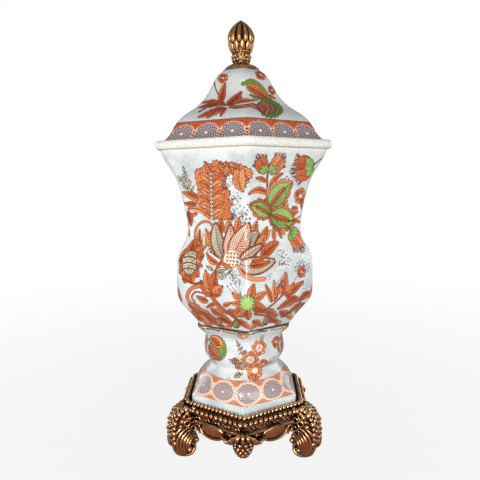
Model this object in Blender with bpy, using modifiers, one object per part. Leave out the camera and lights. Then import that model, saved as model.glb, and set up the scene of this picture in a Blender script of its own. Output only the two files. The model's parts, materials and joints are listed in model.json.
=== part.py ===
"""Hexagonal covered porcelain urn on a scroll-footed gilt bronze base.

Five pieces stand on each other: a bronze base cast in one, a hollow porcelain
pedestal, a hollow porcelain body, a lid that lifts off, and a bronze finial on
the lid. Units are metres, +Z is up, and the origin is under the middle of the
base, on the surface that the feet stand on. One corner of the base points
along -Y.
"""

import math

import bmesh
import bpy
from mathutils import Matrix, Vector

MM = 0.001

# Driving dimensions, in metres.
TOTAL_HEIGHT = 510.0 * MM
CORNERS = 6
CORNER_STEPS = 3
WALL = 5.5 * MM
REST_GAP = 0.3 * MM
UPPER_TURN = math.radians(4.5)

WAIST_JOINT = 156.0 * MM
BODY_TOP = 358.5 * MM
LID_CROWN = 451.6 * MM
BODY_FLOOR = 7.0 * MM
PEDESTAL_TOP_PLATE = 6.0 * MM

RIM_REACH = 110.2 * MM
RIM_HEIGHT = 9.6 * MM
RIM_FILLET = 7.0 * MM
RIM_STEPS = 6
RIM_FLATTENING = 0.7
LIP_REACH = 92.0 * MM
LIP_WALL = 5.0 * MM
LIP_DEPTH = 8.0 * MM
LIP_FILLET = 8.0 * MM
CROWN_INSIDE = 20.0 * MM
LEAST_FILLET = 2.0 * MM
MOUTH_DEPTH = 2.0 * MM
FLOOR_STEP = 3.0 * MM
SHARP_ANGLE = math.radians(35.0)

FOOT_ANGLES = [math.radians(a) for a in (90.0, 210.0, 330.0)]
PENDANT_ANGLES = [math.radians(a) for a in (30.0, 150.0, 270.0)]
SHELL_ANGLES = [math.radians(a) for a in (0.0, 60.0, 120.0, 180.0, 240.0, 300.0)]
FOOT_SIDES = 12
GROUND_CUT = 30.0 * MM

# Outer profiles in millimetres: height, distance of the corner from the axis, and the
# corner's rounding, which runs from a crisp hexagon to nearly a circle.
BODY_STATIONS = [
    (156.0, 61.0, 9.0), (166.0, 67.5, 12.0), (177.0, 76.2, 15.0), (187.0, 85.2, 17.0),
    (196.0, 88.8, 18.0), (240.0, 87.8, 18.0), (248.5, 82.8, 18.0), (257.0, 76.2, 17.0),
    (271.0, 73.6, 16.0), (292.0, 76.3, 14.0), (315.0, 81.9, 13.0), (330.0, 87.3, 12.0),
    (345.0, 97.3, 10.0), (354.0, 103.1, 9.0), (358.5, 104.3, 9.0),
]
LID_STATIONS = [
    (369.0, 100.2, 8.0), (371.0, 97.6, 8.0), (376.0, 93.2, 8.0), (385.0, 88.0, 8.0),
    (393.0, 81.6, 9.0), (398.0, 74.8, 10.0), (408.0, 59.4, 11.0), (418.0, 49.0, 12.0),
    (432.0, 40.0, 12.0), (446.0, 31.6, 12.0), (451.6, 25.6, 12.0),
]
PEDESTAL_STATIONS = [
    (60.3, 71.2, 5.0), (69.0, 71.2, 5.0), (72.5, 67.4, 24.0), (77.0, 62.4, 47.5),
    (82.0, 60.2, 55.3), (88.0, 56.2, 51.5), (93.5, 50.0, 46.2), (98.5, 44.6, 41.2),
    (101.5, 42.4, 39.0), (104.0, 41.8, 38.3), (106.5, 43.6, 40.0), (110.0, 47.4, 43.5),
    (118.0, 51.1, 47.0), (130.0, 50.0, 45.0),
    (138.0, 49.4, 42.0), (143.0, 52.6, 30.0), (148.4, 58.4, 15.0), (152.0, 61.6, 9.0),
    (155.7, 61.8, 9.0),
]
BUD_STATIONS = [
    (463.8, 10.8), (466.5, 12.0), (470.5, 12.3), (474.0, 10.6), (476.5, 12.2), (483.0, 14.9),
    (485.0, 13.9), (490.0, 15.7), (496.6, 14.2), (502.0, 9.9), (506.5, 5.1), (509.0, 2.0),
]
COLLAR_STATIONS = [
    (0.0, 18.6, 0.0), (0.02, 21.6, 1.9), (1.6, 22.4, 2.2), (4.4, 18.4, 1.0), (7.6, 13.6, 0.5),
]
PETALS = 12
PETAL_GROOVE = 0.09
CUP_EDGE = 484.0 * MM
TIP_REACH = 0.4 * MM

# Round the bronze base in millimetres, as (distance from the axis, height): down the
# outside over flange, gadroon roll, bead roll, hollow frieze, ledge and apron, then up the
# inside to the seat that the pedestal stands on.
FRAME_PROFILE = [
    (73.0, 63.0), (77.5, 63.2), (79.6, 64.2), (81.6, 62.6), (81.2, 60.9), (84.2, 60.2),
    (84.8, 58.3), (83.8, 56.0), (80.6, 55.0), (79.4, 49.5), (80.4, 44.2), (83.6, 43.6),
    (84.0, 41.4), (81.6, 40.6), (82.4, 36.5), (81.6, 31.5), (77.6, 31.5), (76.8, 40.0),
    (72.0, 53.0), (64.0, 56.8), (64.0, 60.0), (73.0, 60.0),
]
# Down a leg in millimetres: distance from the axis, height, half width, half thickness.
LEG_STATIONS = [
    (74.0, 52.5, 11.0, 6.0), (83.0, 51.0, 12.5, 9.5), (88.5, 42.0, 13.2, 13.6),
    (88.5, 32.0, 13.2, 15.6), (88.6, 22.0, 12.8, 15.4), (87.4, 12.0, 11.8, 12.4),
    (86.4, 5.0, 10.4, 9.8), (86.0, -3.0, 8.0, 7.4),
]
# Through the curl behind a leg, as for the leg.
CURL_STATIONS = [
    (86.0, 9.0, 10.0, 7.0), (77.0, 9.4, 9.6, 7.4), (71.6, 13.4, 8.0, 5.6),
    (69.0, 18.0, 5.6, 3.2),
]
# Bosses in millimetres: distance from the axis, height and three half sizes.
PENDANT = (81.0, 33.0, (8.8, 12.2, 15.6))
SHELL = (70.8, 36.0, (4.0, 13.6, 7.2))


def clear_scene() -> None:
    """Remove every object of the scene."""
    for obj in list(bpy.data.objects):
        bpy.data.objects.remove(obj)


def make_collection(name: str) -> bpy.types.Collection:
    """Add a collection to the scene."""
    collection = bpy.data.collections.new(name)
    bpy.context.scene.collection.children.link(collection)
    return collection


def make_material(name: str, colour: tuple, roughness: float, metallic: float) -> bpy.types.Material:
    """Make a plain Principled material."""
    material = bpy.data.materials.new(name)
    material.use_nodes = True
    shader = material.node_tree.nodes["Principled BSDF"]
    shader.inputs["Base Color"].default_value = (*colour, 1.0)
    shader.inputs["Roughness"].default_value = roughness
    shader.inputs["Metallic"].default_value = metallic
    return material


def smooth_profile(stations: list, steps: int) -> list:
    """Run a curve without overshoot through stations whose first number rises.

    Args:
        stations: Tuples (height, value, ...) in millimetres.
        steps: Number of pieces between two stations.

    Returns:
        Tuples of the same kind, in metres, with steps pieces between two stations.
    """
    columns = len(stations[0])
    slopes = []
    for column in range(1, columns):
        chords = []
        for low, high in zip(stations, stations[1:]):
            chords.append((high[column] - low[column]) / (high[0] - low[0]))
        tangents = [chords[0]]
        for before, after in zip(chords, chords[1:]):
            steady = before * after > 0.0
            tangents.append(2.0 * before * after / (before + after) if steady else 0.0)
        tangents.append(chords[-1])
        slopes.append(tangents)
    curve = []
    for index, (low, high) in enumerate(zip(stations, stations[1:])):
        span = high[0] - low[0]
        for step in range(steps):
            t = step / steps
            point = [low[0] + span * t]
            for column in range(1, columns):
                start = slopes[column - 1][index] * span
                end = slopes[column - 1][index + 1] * span
                point.append(
                    (2 * t**3 - 3 * t**2 + 1) * low[column] + (t**3 - 2 * t**2 + t) * start
                    + (3 * t**2 - 2 * t**3) * high[column] + (t**3 - t**2) * end
                )
            curve.append(tuple(value * MM for value in point))
    curve.append(tuple(value * MM for value in stations[-1]))
    return curve


def hexagon_ring(height: float, reach: float, fillet: float) -> list:
    """Return the points of a level hexagon with rounded corners.

    Args:
        height: Height of the ring.
        reach: Distance from the axis to the crown of a rounded corner.
        fillet: Radius of the corners. A fillet close to the reach gives nearly a circle.
    """
    points = []
    for corner in range(CORNERS):
        middle = math.radians(-90.0 + 60.0 * corner)
        for step in range(CORNER_STEPS + 1):
            angle = middle + math.radians(-30.0 + 60.0 * step / CORNER_STEPS)
            x = (reach - fillet) * math.cos(middle) + fillet * math.cos(angle)
            y = (reach - fillet) * math.sin(middle) + fillet * math.sin(angle)
            points.append(Vector((x, y, height)))
    return points


def loft(name: str, rings: list, collection: bpy.types.Collection) -> bpy.types.Object:
    """Skin a row of rings that have equal point counts, and close both ends with a face."""
    mesh = bpy.data.meshes.new(name)
    bm = bmesh.new()
    loops = []
    for ring in rings:
        loops.append([bm.verts.new(point) for point in ring])
    for lower, upper in zip(loops, loops[1:]):
        for index in range(len(lower)):
            after = (index + 1) % len(lower)
            bm.faces.new((lower[index], lower[after], upper[after], upper[index]))
    bm.faces.new(loops[0])
    bm.faces.new(loops[-1])
    bmesh.ops.recalc_face_normals(bm, faces=bm.faces)
    bm.to_mesh(mesh)
    bm.free()
    mesh.shade_smooth()
    mesh.set_sharp_from_angle(angle=SHARP_ANGLE)
    obj = bpy.data.objects.new(name, mesh)
    collection.objects.link(obj)
    return obj


def inner_sections(sections: list, wall: float) -> list:
    """Offset a profile inwards, square to its surface, by the wall's thickness."""
    inside = []
    for index, (height, reach, fillet) in enumerate(sections):
        before = sections[max(index - 1, 0)]
        after = sections[min(index + 1, len(sections) - 1)]
        rise = after[0] - before[0]
        run = after[1] - before[1]
        length = math.hypot(rise, run)
        depth = wall * rise / length
        inside.append((height + wall * run / length, reach - depth, max(fillet - depth, LEAST_FILLET)))
    return inside


def build_body(collection: bpy.types.Collection) -> bpy.types.Object:
    """Make the hollow body, open at the top."""
    outer = smooth_profile(BODY_STATIONS, 2)
    inside = inner_sections(smooth_profile(BODY_STATIONS, 1), WALL)
    floor_height = WAIST_JOINT + BODY_FLOOR
    inner = [s for s in inside if floor_height < s[0] < BODY_TOP - MOUTH_DEPTH]
    mouth = (BODY_TOP, outer[-1][1] - WALL, outer[-1][2] - WALL)
    floor = (floor_height, inner[0][1] - FLOOR_STEP, inner[0][2])
    sections = outer + [mouth] + inner[::-1] + [floor]
    sections[0] = (WAIST_JOINT + REST_GAP, *sections[0][1:])
    body = loft("body", [hexagon_ring(*section) for section in sections], collection)
    body.rotation_euler.z = UPPER_TURN
    return body


def build_lid(collection: bpy.types.Collection) -> bpy.types.Object:
    """Make the hollow lid: bell, rolled rim and the lip that keeps it centred."""
    outer = smooth_profile(LID_STATIONS, 2)[::-1]
    under = BODY_TOP + REST_GAP
    middle = under + RIM_HEIGHT / 2.0
    rim = []
    for step in range(RIM_STEPS + 1):
        angle = math.pi * (0.5 - step / RIM_STEPS)
        reach = RIM_REACH - RIM_HEIGHT / 2.0 * (1.0 - math.cos(angle)) * RIM_FLATTENING
        rim.append((middle + RIM_HEIGHT / 2.0 * math.sin(angle), reach, RIM_FILLET))
    lip = [
        (under, LIP_REACH, LIP_FILLET),
        (under - LIP_DEPTH, LIP_REACH, LIP_FILLET),
        (under - LIP_DEPTH, LIP_REACH - LIP_WALL, LIP_FILLET - LIP_WALL),
    ]
    inside = inner_sections(smooth_profile(LID_STATIONS, 1), WALL)
    inner = [s for s in inside if LIP_REACH - LIP_WALL > s[1] > CROWN_INSIDE]
    sections = outer + rim + lip + inner
    lid = loft("lid", [hexagon_ring(*section) for section in sections], collection)
    lid.rotation_euler.z = UPPER_TURN
    return lid


def build_pedestal(collection: bpy.types.Collection) -> bpy.types.Object:
    """Make the hollow pedestal, closed at the top and open below."""
    outer = smooth_profile(PEDESTAL_STATIONS, 1)
    ceiling = outer[-1][0] - PEDESTAL_TOP_PLATE
    inner = [s for s in inner_sections(outer, WALL) if s[0] < ceiling - MOUTH_DEPTH]
    inner[0] = (outer[0][0], outer[0][1] - WALL, LEAST_FILLET)
    top = (ceiling, inner[-1][1], inner[-1][2])
    sections = [top] + inner[::-1] + outer
    return loft("pedestal", [hexagon_ring(*section) for section in sections], collection)


def petal_ring(height: float, reach: float, groove: float, shift: int) -> list:
    """Return a level ring whose points alternate between petal crowns and grooves."""
    points = []
    for index in range(2 * PETALS):
        angle = math.tau * index / (2 * PETALS)
        radius = reach if (index + shift) % 2 == 0 else reach - groove
        points.append(Vector((radius * math.cos(angle), radius * math.sin(angle), height)))
    return points


def build_finial(collection: bpy.types.Collection) -> bpy.types.Object:
    """Make the finial: leafy collar, knop, cup of small petals and fluted bud."""
    base = LID_CROWN + REST_GAP
    rings = []
    for height, reach, groove in smooth_profile(COLLAR_STATIONS, 1):
        rings.append(petal_ring(base + height, reach, groove, 0))
    for height, reach in smooth_profile(BUD_STATIONS, 1):
        shift = 1 if height > CUP_EDGE else 0
        rings.append(petal_ring(height, reach, PETAL_GROOVE * reach, shift))
    rings.append(petal_ring(TOTAL_HEIGHT, TIP_REACH, 0.0, 0))
    return loft("finial", rings, collection)


def turned_hexagon(name: str, profile: list, collection: bpy.types.Collection) -> bpy.types.Object:
    """Sweep a closed profile round the axis in six straight steps."""
    mesh = bpy.data.meshes.new(name)
    points = [(reach * MM, 0.0, height * MM) for reach, height in profile]
    edges = [(index, (index + 1) % len(points)) for index in range(len(points))]
    mesh.from_pydata(points, edges, [])
    obj = bpy.data.objects.new(name, mesh)
    collection.objects.link(obj)
    screw = obj.modifiers.new("Sweep", "SCREW")
    screw.steps = CORNERS
    screw.render_steps = CORNERS
    screw.use_merge_vertices = True
    screw.merge_threshold = 0.00001
    obj.rotation_euler.z = math.radians(30.0)
    return obj


def swept_limb(name: str, stations: list, angle: float,
               collection: bpy.types.Collection) -> bpy.types.Object:
    """Skin ovals that stand square to a path in an upright plane, turned to an angle."""
    rings = []
    across = Vector((0.0, 1.0, 0.0))
    for index, (reach, height, half_width, half_thick) in enumerate(stations):
        before = stations[max(index - 1, 0)]
        after = stations[min(index + 1, len(stations) - 1)]
        along = Vector((after[0] - before[0], 0.0, after[1] - before[1])).normalized()
        normal = along.cross(across)
        centre = Vector((reach, 0.0, height))
        ring = []
        for side in range(FOOT_SIDES):
            turn = math.tau * side / FOOT_SIDES
            offset = across * half_width * math.cos(turn) + normal * half_thick * math.sin(turn)
            ring.append((centre + offset) * MM)
        rings.append(ring)
    limb = loft(name, rings, collection)
    limb.rotation_euler.z = angle
    return limb


def ellipsoid(name: str, reach: float, height: float, half_sizes: tuple, angle: float,
              collection: bpy.types.Collection) -> bpy.types.Object:
    """Make an egg-shaped boss centred at a distance from the axis, turned to an angle."""
    mesh = bpy.data.meshes.new(name)
    bm = bmesh.new()
    bmesh.ops.create_uvsphere(bm, u_segments=12, v_segments=8, radius=1.0)
    bmesh.ops.scale(bm, vec=Vector(half_sizes) * MM, verts=bm.verts)
    bmesh.ops.translate(bm, vec=Vector((reach, 0.0, height)) * MM, verts=bm.verts)
    bmesh.ops.rotate(bm, cent=(0.0, 0.0, 0.0), matrix=Matrix.Rotation(angle, 3, "Z"), verts=bm.verts)
    bm.to_mesh(mesh)
    bm.free()
    obj = bpy.data.objects.new(name, mesh)
    collection.objects.link(obj)
    return obj


def add_boolean(target: bpy.types.Object, piece: bpy.types.Object, operation: str) -> None:
    """Join a piece to a target or cut it away, exactly, and hide the piece."""
    piece.hide_render = True
    piece.display_type = "WIRE"
    boolean = target.modifiers.new(operation.title() + " " + piece.name, "BOOLEAN")
    boolean.operation = operation
    boolean.solver = "EXACT"
    boolean.object = piece


def ground_block(collection: bpy.types.Collection) -> bpy.types.Object:
    """Make the block below the floor that cuts the feet off flat."""
    mesh = bpy.data.meshes.new("ground")
    bm = bmesh.new()
    bmesh.ops.create_cube(bm, size=1.0)
    width = 3.0 * RIM_REACH
    bmesh.ops.scale(bm, vec=(width, width, GROUND_CUT), verts=bm.verts)
    bmesh.ops.translate(bm, vec=(0.0, 0.0, -GROUND_CUT / 2.0), verts=bm.verts)
    bm.to_mesh(mesh)
    bm.free()
    obj = bpy.data.objects.new("ground", mesh)
    collection.objects.link(obj)
    return obj


def build_mount(collection: bpy.types.Collection, tools: bpy.types.Collection) -> bpy.types.Object:
    """Make the bronze base: a moulded hexagonal frame joined with its feet, pendants and shells."""
    mount = turned_hexagon("mount", FRAME_PROFILE, collection)
    added = []
    for angle in FOOT_ANGLES:
        added.append(swept_limb("leg", LEG_STATIONS, angle, tools))
        added.append(swept_limb("curl", CURL_STATIONS, angle, tools))
    for angle in PENDANT_ANGLES:
        added.append(ellipsoid("pendant", *PENDANT, angle, tools))
    for angle in SHELL_ANGLES:
        added.append(ellipsoid("shell", *SHELL, angle, tools))
    for piece in added:
        add_boolean(mount, piece, "UNION")
    add_boolean(mount, ground_block(tools), "DIFFERENCE")
    return mount


def main() -> None:
    """Build the five pieces and give each its material."""
    clear_scene()
    urn = make_collection("covered_urn")
    tools = make_collection("joined_shapes")
    porcelain = (0.72, 0.73, 0.69)
    gilt = (0.55, 0.35, 0.14)
    pieces = [
        (build_mount(urn, tools), make_material("mount bronze", gilt, 0.35, 1.0)),
        (build_pedestal(urn), make_material("pedestal porcelain", porcelain, 0.2, 0.0)),
        (build_body(urn), make_material("body porcelain", porcelain, 0.2, 0.0)),
        (build_lid(urn), make_material("lid porcelain", porcelain, 0.2, 0.0)),
        (build_finial(urn), make_material("finial bronze", gilt, 0.3, 1.0)),
    ]
    for obj, material in pieces:
        obj.data.materials.append(material)


main()
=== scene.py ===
"""Looks of a covered hexagonal porcelain urn on a scroll-footed gilt bronze base.

The porcelain shells are raised ring by ring from a hexagon and painted by brush
strokes worked out on their faces. The bronze is built up from castings, beads and
leaves. Sizes are in millimetres and become metres where a mesh is made.
"""

import json
import logging
import math
from collections.abc import Callable, Iterator, Sequence
from contextlib import contextmanager
from dataclasses import dataclass, field
from enum import Enum

import bmesh
import bpy
import numpy as np
from mathutils import Euler, Matrix, Vector

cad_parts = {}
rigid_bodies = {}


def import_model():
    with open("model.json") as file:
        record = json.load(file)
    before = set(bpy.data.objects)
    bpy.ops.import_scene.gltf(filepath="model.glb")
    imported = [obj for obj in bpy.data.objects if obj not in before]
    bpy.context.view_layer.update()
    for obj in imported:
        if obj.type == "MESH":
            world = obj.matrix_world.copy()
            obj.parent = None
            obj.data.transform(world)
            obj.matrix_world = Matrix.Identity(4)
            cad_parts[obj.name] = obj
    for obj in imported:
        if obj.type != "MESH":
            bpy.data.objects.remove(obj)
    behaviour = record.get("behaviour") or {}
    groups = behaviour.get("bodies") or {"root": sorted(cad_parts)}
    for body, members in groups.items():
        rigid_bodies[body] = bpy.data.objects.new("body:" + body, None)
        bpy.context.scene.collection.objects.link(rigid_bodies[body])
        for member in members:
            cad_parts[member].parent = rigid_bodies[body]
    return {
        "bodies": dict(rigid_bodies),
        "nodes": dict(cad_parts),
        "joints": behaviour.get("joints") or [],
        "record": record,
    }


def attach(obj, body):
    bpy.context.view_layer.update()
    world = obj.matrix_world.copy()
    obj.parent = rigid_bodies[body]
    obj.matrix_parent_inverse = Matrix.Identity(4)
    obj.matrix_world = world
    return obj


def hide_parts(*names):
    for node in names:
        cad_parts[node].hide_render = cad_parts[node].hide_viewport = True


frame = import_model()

LOG = logging.getLogger("urn")

MM = 0.001
SIDES = 6
SIXTH = math.tau / SIDES
FLAT_SHARE = math.cos(SIXTH / 2.0)
FRONT = -math.pi / 2.0
FAR = 9.0
SEEN = 0.7
BARE_TONE = 0.6
MARGIN = 3.0
BODY = "root"

Object = bpy.types.Object
Socket = bpy.types.NodeSocket
Group = bpy.types.NodeTree
Place = tuple[float, float]
Station = tuple[float, float, float]
Colour = tuple[float, float, float]
Array = np.ndarray
Material = bpy.types.Material


# Work in edit mode


def deselect_everything() -> None:
    """Leave no object selected."""
    if bpy.context.object and bpy.context.object.mode != "OBJECT":
        bpy.ops.object.mode_set(mode="OBJECT")
    bpy.ops.object.select_all(action="DESELECT")


def take_up(obj: Object) -> None:
    """Make an object the only selected one and the active one.

    Args:
        obj: The object in hand.
    """
    deselect_everything()
    obj.select_set(True)
    bpy.context.view_layer.objects.active = obj


def settle(obj: Object) -> None:
    """Write an object's place into its mesh."""
    take_up(obj)
    bpy.ops.object.transform_apply(location=True, rotation=True, scale=True)


@contextmanager
def editing(obj: Object, chosen: Callable[[Vector], bool] | None = None) -> Iterator[None]:
    """Edit an object with all of it selected, or only the points that a test chooses.

    Args:
        obj: The object in hand.
        chosen: Test of a point's place.

    Yields:
        Nothing, while the object is in edit mode.
    """
    take_up(obj)
    bpy.ops.object.mode_set(mode="EDIT")
    bpy.ops.mesh.select_mode(type="VERT")
    bpy.ops.mesh.select_all(action="DESELECT" if chosen else "SELECT")
    if chosen:
        mesh = bmesh.from_edit_mesh(obj.data)
        for point in mesh.verts:
            if chosen(point.co):
                point.select = True
        mesh.select_flush(True)
        bmesh.update_edit_mesh(obj.data)
    yield
    bpy.ops.object.mode_set(mode="OBJECT")


def select_open_edges(obj: Object) -> None:
    """Select only the open edges of a mesh in edit mode.

    Args:
        obj: The object in hand.
    """
    bpy.ops.mesh.select_all(action="DESELECT")
    mesh = bmesh.from_edit_mesh(obj.data)
    for edge in mesh.edges:
        if edge.is_boundary:
            edge.select = True
    bmesh.update_edit_mesh(obj.data)


def raise_ring(rise: float, scale: float) -> None:
    """Extrude the selected ring by a rise and scale it about the upright axis."""
    bpy.ops.mesh.extrude_region_move(TRANSFORM_OT_translate={"value": (0, 0, rise * MM)})
    bpy.ops.transform.resize(value=(scale, scale, 1), center_override=(0, 0, 0))


def raise_rings(rows: Sequence[Place]) -> None:
    """Extrude the selected ring, which is the first row, through rows of height and reach."""
    for (height, reach), (next_height, next_reach) in zip(rows, rows[1:]):
        raise_ring(next_height - height, next_reach / reach)


def first_ring(corners: int, reach: float, height: float = 0.0, turn: float = 0.0,
        fill: str = "NOTHING") -> Object:
    """Add the level ring that a shell is raised from.

    Args:
        corners: Number of its corners.
        reach: Their distance from the axis.
        height: Its height.
        turn: Turn of its first corner, in degrees.
        fill: Blender's word for how it is closed.

    Returns:
        The ring.
    """
    deselect_everything()
    bpy.ops.mesh.primitive_circle_add(vertices=corners, radius=reach * MM, fill_type=fill,
        location=(0, 0, height * MM), rotation=(0, 0, math.radians(turn)))
    return bpy.context.object


def carry_on(shell: Object, rows: Sequence[Place]) -> None:
    """Extrude the open ring at the first row's height through the others and close the last.

    Args:
        shell: The shell in hand.
        rows: Heights and reaches in millimetres.
    """
    height = rows[0][0] * MM
    with editing(shell, lambda co: abs(co.z - height) < 0.02 * MM):
        raise_rings(rows)
        bpy.ops.mesh.edge_face_add()


def subdivide(obj: Object, levels: int) -> None:
    """Round an object by a Subdivision Surface and apply it.

    Args:
        obj: The object in hand.
        levels: Times that its faces are divided.
    """
    take_up(obj)
    modifier = obj.modifiers.new("Subdivision", "SUBSURF")
    modifier.levels = modifier.render_levels = levels
    bpy.ops.object.modifier_apply(modifier=modifier.name)


def face_outwards(obj: Object) -> None:
    """Recalculate all normals of a closed piece."""
    with editing(obj):
        bpy.ops.mesh.normals_make_consistent(inside=False)


def join_pieces(pieces: Sequence[Object], name: str) -> Object:
    """Join pieces into one named object with its place in its mesh.

    Args:
        pieces: The objects to join.
        name: Name of the joined piece.

    Returns:
        The joined object.
    """
    deselect_everything()
    for piece in pieces:
        piece.select_set(True)
    bpy.context.view_layer.objects.active = pieces[0]
    bpy.ops.object.join()
    joined = bpy.context.object
    joined.name = joined.data.name = name
    settle(joined)
    return joined


def lay_copies(pattern: Object, places: Sequence[Matrix]) -> list[Object]:
    """Copy a modelled pattern to many places, each copy with its own mesh.

    Args:
        pattern: The piece modelled once; it is used up.
        places: Where each copy goes.

    Returns:
        The copies.
    """
    copies = []
    for place in places:
        copy = pattern.copy()
        copy.data = pattern.data.copy()
        bpy.context.scene.collection.objects.link(copy)
        copy.matrix_world = place
        copies.append(copy)
    bpy.data.objects.remove(pattern)
    return copies


def dress(piece: Object, node: str, finish: Material, crease: float) -> None:
    """Give a piece its finish and put it in the place of its solid.

    Args:
        piece: The finished piece.
        node: The solid that it stands for.
        finish: Its material.
        crease: Angle up to which its faces are shaded smooth, in degrees.
    """
    take_up(piece)
    bpy.ops.object.shade_smooth_by_angle(angle=math.radians(crease))
    piece.data.materials.clear()
    piece.data.materials.append(finish)
    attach(piece, BODY)
    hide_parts(node)
    LOG.info("%s: %d faces", piece.name, len(piece.data.polygons))


# Profiles


@dataclass(frozen=True)
class Profile:
    """Outline of a six-sided shell.

    Attributes:
        stations: Height, corner's distance from the axis and roundness, where 0 is
            a hexagon and 1 a circle, with heights that rise.
    """

    stations: tuple[Station, ...]

    def at(self, height: Array) -> Array:
        """Give distance and roundness at some heights, on a curve without overshoot.

        Args:
            height: Heights in millimetres.

        Returns:
            Array with two columns.
        """
        table = np.array(self.stations)
        knots, values = table[:, 0], table[:, 1:]
        gaps = np.diff(knots)[:, None]
        chords = np.diff(values, axis=0) / gaps
        slopes = np.zeros_like(values)
        slopes[0], slopes[-1] = chords[0], chords[-1]
        product = chords[:-1] * chords[1:]
        total = chords[:-1] + chords[1:]
        steady = product > 0.0
        slopes[1:-1] = np.where(steady, 2.0 * product / np.where(steady, total, 1), 0)
        height = np.clip(np.atleast_1d(height), knots[0], knots[-1])
        piece = np.clip(np.searchsorted(knots, height) - 1, 0, len(gaps) - 1)
        gap = gaps[piece]
        t = ((height - knots[piece])[:, None]) / gap
        return ((2 * t**3 - 3 * t**2 + 1) * values[piece] + (t**3 - 2 * t**2 + t) * gap * slopes[piece]
            + (3 * t**2 - 2 * t**3) * values[piece + 1] + (t**3 - t**2) * gap * slopes[piece + 1])

    def inset(self, heights: Sequence[float], depth: float) -> list[Place]:
        """Give height and reach of an inner wall at some heights, at a depth under the corner."""
        return [(height, float(self.at(np.array([height]))[0, 0]) - depth) for height in heights]

    def climb(self, height: Array) -> Array:
        """Measure how far up the face some heights lie, from the lowest station.

        Args:
            height: Heights in millimetres.

        Returns:
            One distance per height.
        """
        fine = np.linspace(self.stations[0][0], self.stations[-1][0], 600)
        steps = np.hypot(np.diff(fine), np.diff(self.at(fine)[:, 0] * FLAT_SHARE))
        return np.interp(height, fine, np.concatenate([[0], np.cumsum(steps)]))

    def walk(self, rows: int) -> list[Station]:
        """Give rows at equal steps up the face.

        Args:
            rows: Number of steps.

        Returns:
            Height, distance and roundness of each row.
        """
        fine = np.linspace(self.stations[0][0], self.stations[-1][0], 600)
        way = self.climb(fine)
        heights = np.interp(np.linspace(0, way[-1], rows + 1), way, fine)
        return [(float(h), float(v[0]), float(v[1])) for h, v in zip(heights, self.at(heights))]


# Painting on the glaze


class Ink(Enum):
    """Colours of the painting, lowest first. Each is a point attribute that holds a distance."""

    MEDALLION = "medallion"
    PINK = "pink"
    CREAM = "cream"
    OLIVE = "olive"
    ORANGE = "orange"
    RUST = "rust"
    CORAL = "coral"
    GREEN = "green"
    LILAC = "lilac"
    GILT = "gilt"
    LINE = "line"


MEDALLION, PINK, CREAM, OLIVE, ORANGE, RUST, CORAL, GREEN, LILAC, GILT, LINE = Ink
WARM = (ORANGE, RUST, CORAL)


class Paint:
    """Signed distances from every colour's edge over the points of one shell.

    Attributes:
        layers: One distance in millimetres per point and ink, below 0 inside.
        tone: How light a stroke is at each point, from 0 to 1.
        rosette: Place within the nearest medallion, in millimetres.
        grain: Distance along and across the leaf at each point, and its veins' strength.
    """

    def __init__(self, count: int, bias: float = 0.0) -> None:
        """Start with a bare shell.

        Args:
            count: Number of points.
            bias: Lightness added to every stroke.
        """
        self.layers = {ink: np.full(count, FAR, np.float32) for ink in Ink}
        self.tone = np.full(count, BARE_TONE, np.float32)
        self.rosette = np.zeros((count, 3), np.float32)
        self.grain = np.zeros((count, 3), np.float32)
        self.bias = bias

    def warm(self, ink: Ink, index: Array, distance: Array) -> Ink:
        """Choose the orange that is least used round an edge, so that edges stay apart.

        Args:
            ink: The colour asked for; only the first orange is exchanged.
            index: Points near the area.
            distance: Distance of those points from its edge.

        Returns:
            The ink to use.
        """
        if ink is not ORANGE:
            return ink
        near_edge, touching = 1.6, 0.9
        rim = index[np.abs(distance) < near_edge]
        return min(WARM, key=lambda warm: int((self.layers[warm][rim] < touching).sum()))

    def lay(self, ink: Ink, index: Array, distance: Array,
            tone: Array | float | None = None, grain: Array | None = None) -> None:
        """Cover what is below with one colour. A line leaves what is below it whole.

        Args:
            ink: The colour.
            index: Points near the stroke.
            distance: Distance of those points from the stroke's edge.
            tone: Lightness of the stroke, if it differs.
            grain: Place along and across the leaf and its veins' strength, if it has any.
        """
        distance = distance.astype(np.float32)
        if ink is not LINE:
            for other, layer in self.layers.items():
                if other is not ink:
                    layer[index] = np.maximum(layer[index], -distance)
        layer = self.layers[ink]
        layer[index] = np.minimum(layer[index], distance)
        inside = distance < SEEN
        if tone is not None:
            shade = np.broadcast_to(tone, distance.shape) + self.bias
            self.tone[index[inside]] = shade[inside]
        if ink is not LINE:
            self.grain[index[inside]] = 0.0 if grain is None else grain[inside]

    def store(self, mesh: bpy.types.Mesh) -> None:
        """Write every layer to a mesh; points past the painted ones stay bare.

        Args:
            mesh: The mesh that carries the painting.
        """
        count = len(mesh.vertices)
        numbers = {ink.value: (layer, FAR) for ink, layer in self.layers.items()}
        numbers["tone"] = (self.tone, BARE_TONE)
        for name, (layer, bare) in numbers.items():
            values = np.full(count, bare, np.float32)
            values[: len(layer)] = layer
            mesh.attributes.new(name, "FLOAT", "POINT").data.foreach_set("value", values)
        for name, layer in (("rosette", self.rosette), ("grain", self.grain)):
            vectors = np.zeros((count, 3), np.float32)
            vectors[: len(layer)] = layer
            place = mesh.attributes.new(name, "FLOAT_VECTOR", "POINT")
            place.data.foreach_set("vector", vectors.ravel())


def onto(points: Array, start: Array, edge: Array) -> tuple[Array, Array]:
    """Find the nearest spot to each place on each of many straight pieces.

    Args:
        points: Places, one per row.
        start: Where each piece starts.
        edge: Way from its start to its end.

    Returns:
        The spots' shares of their pieces, and the ways from the spots to the places.
    """
    offset = points[:, None, :] - start[None]
    share = (offset * edge).sum(-1) / np.maximum((edge**2).sum(-1), 1e-9)
    share = np.clip(share, 0, 1)
    return share, offset - share[..., None] * edge


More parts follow.
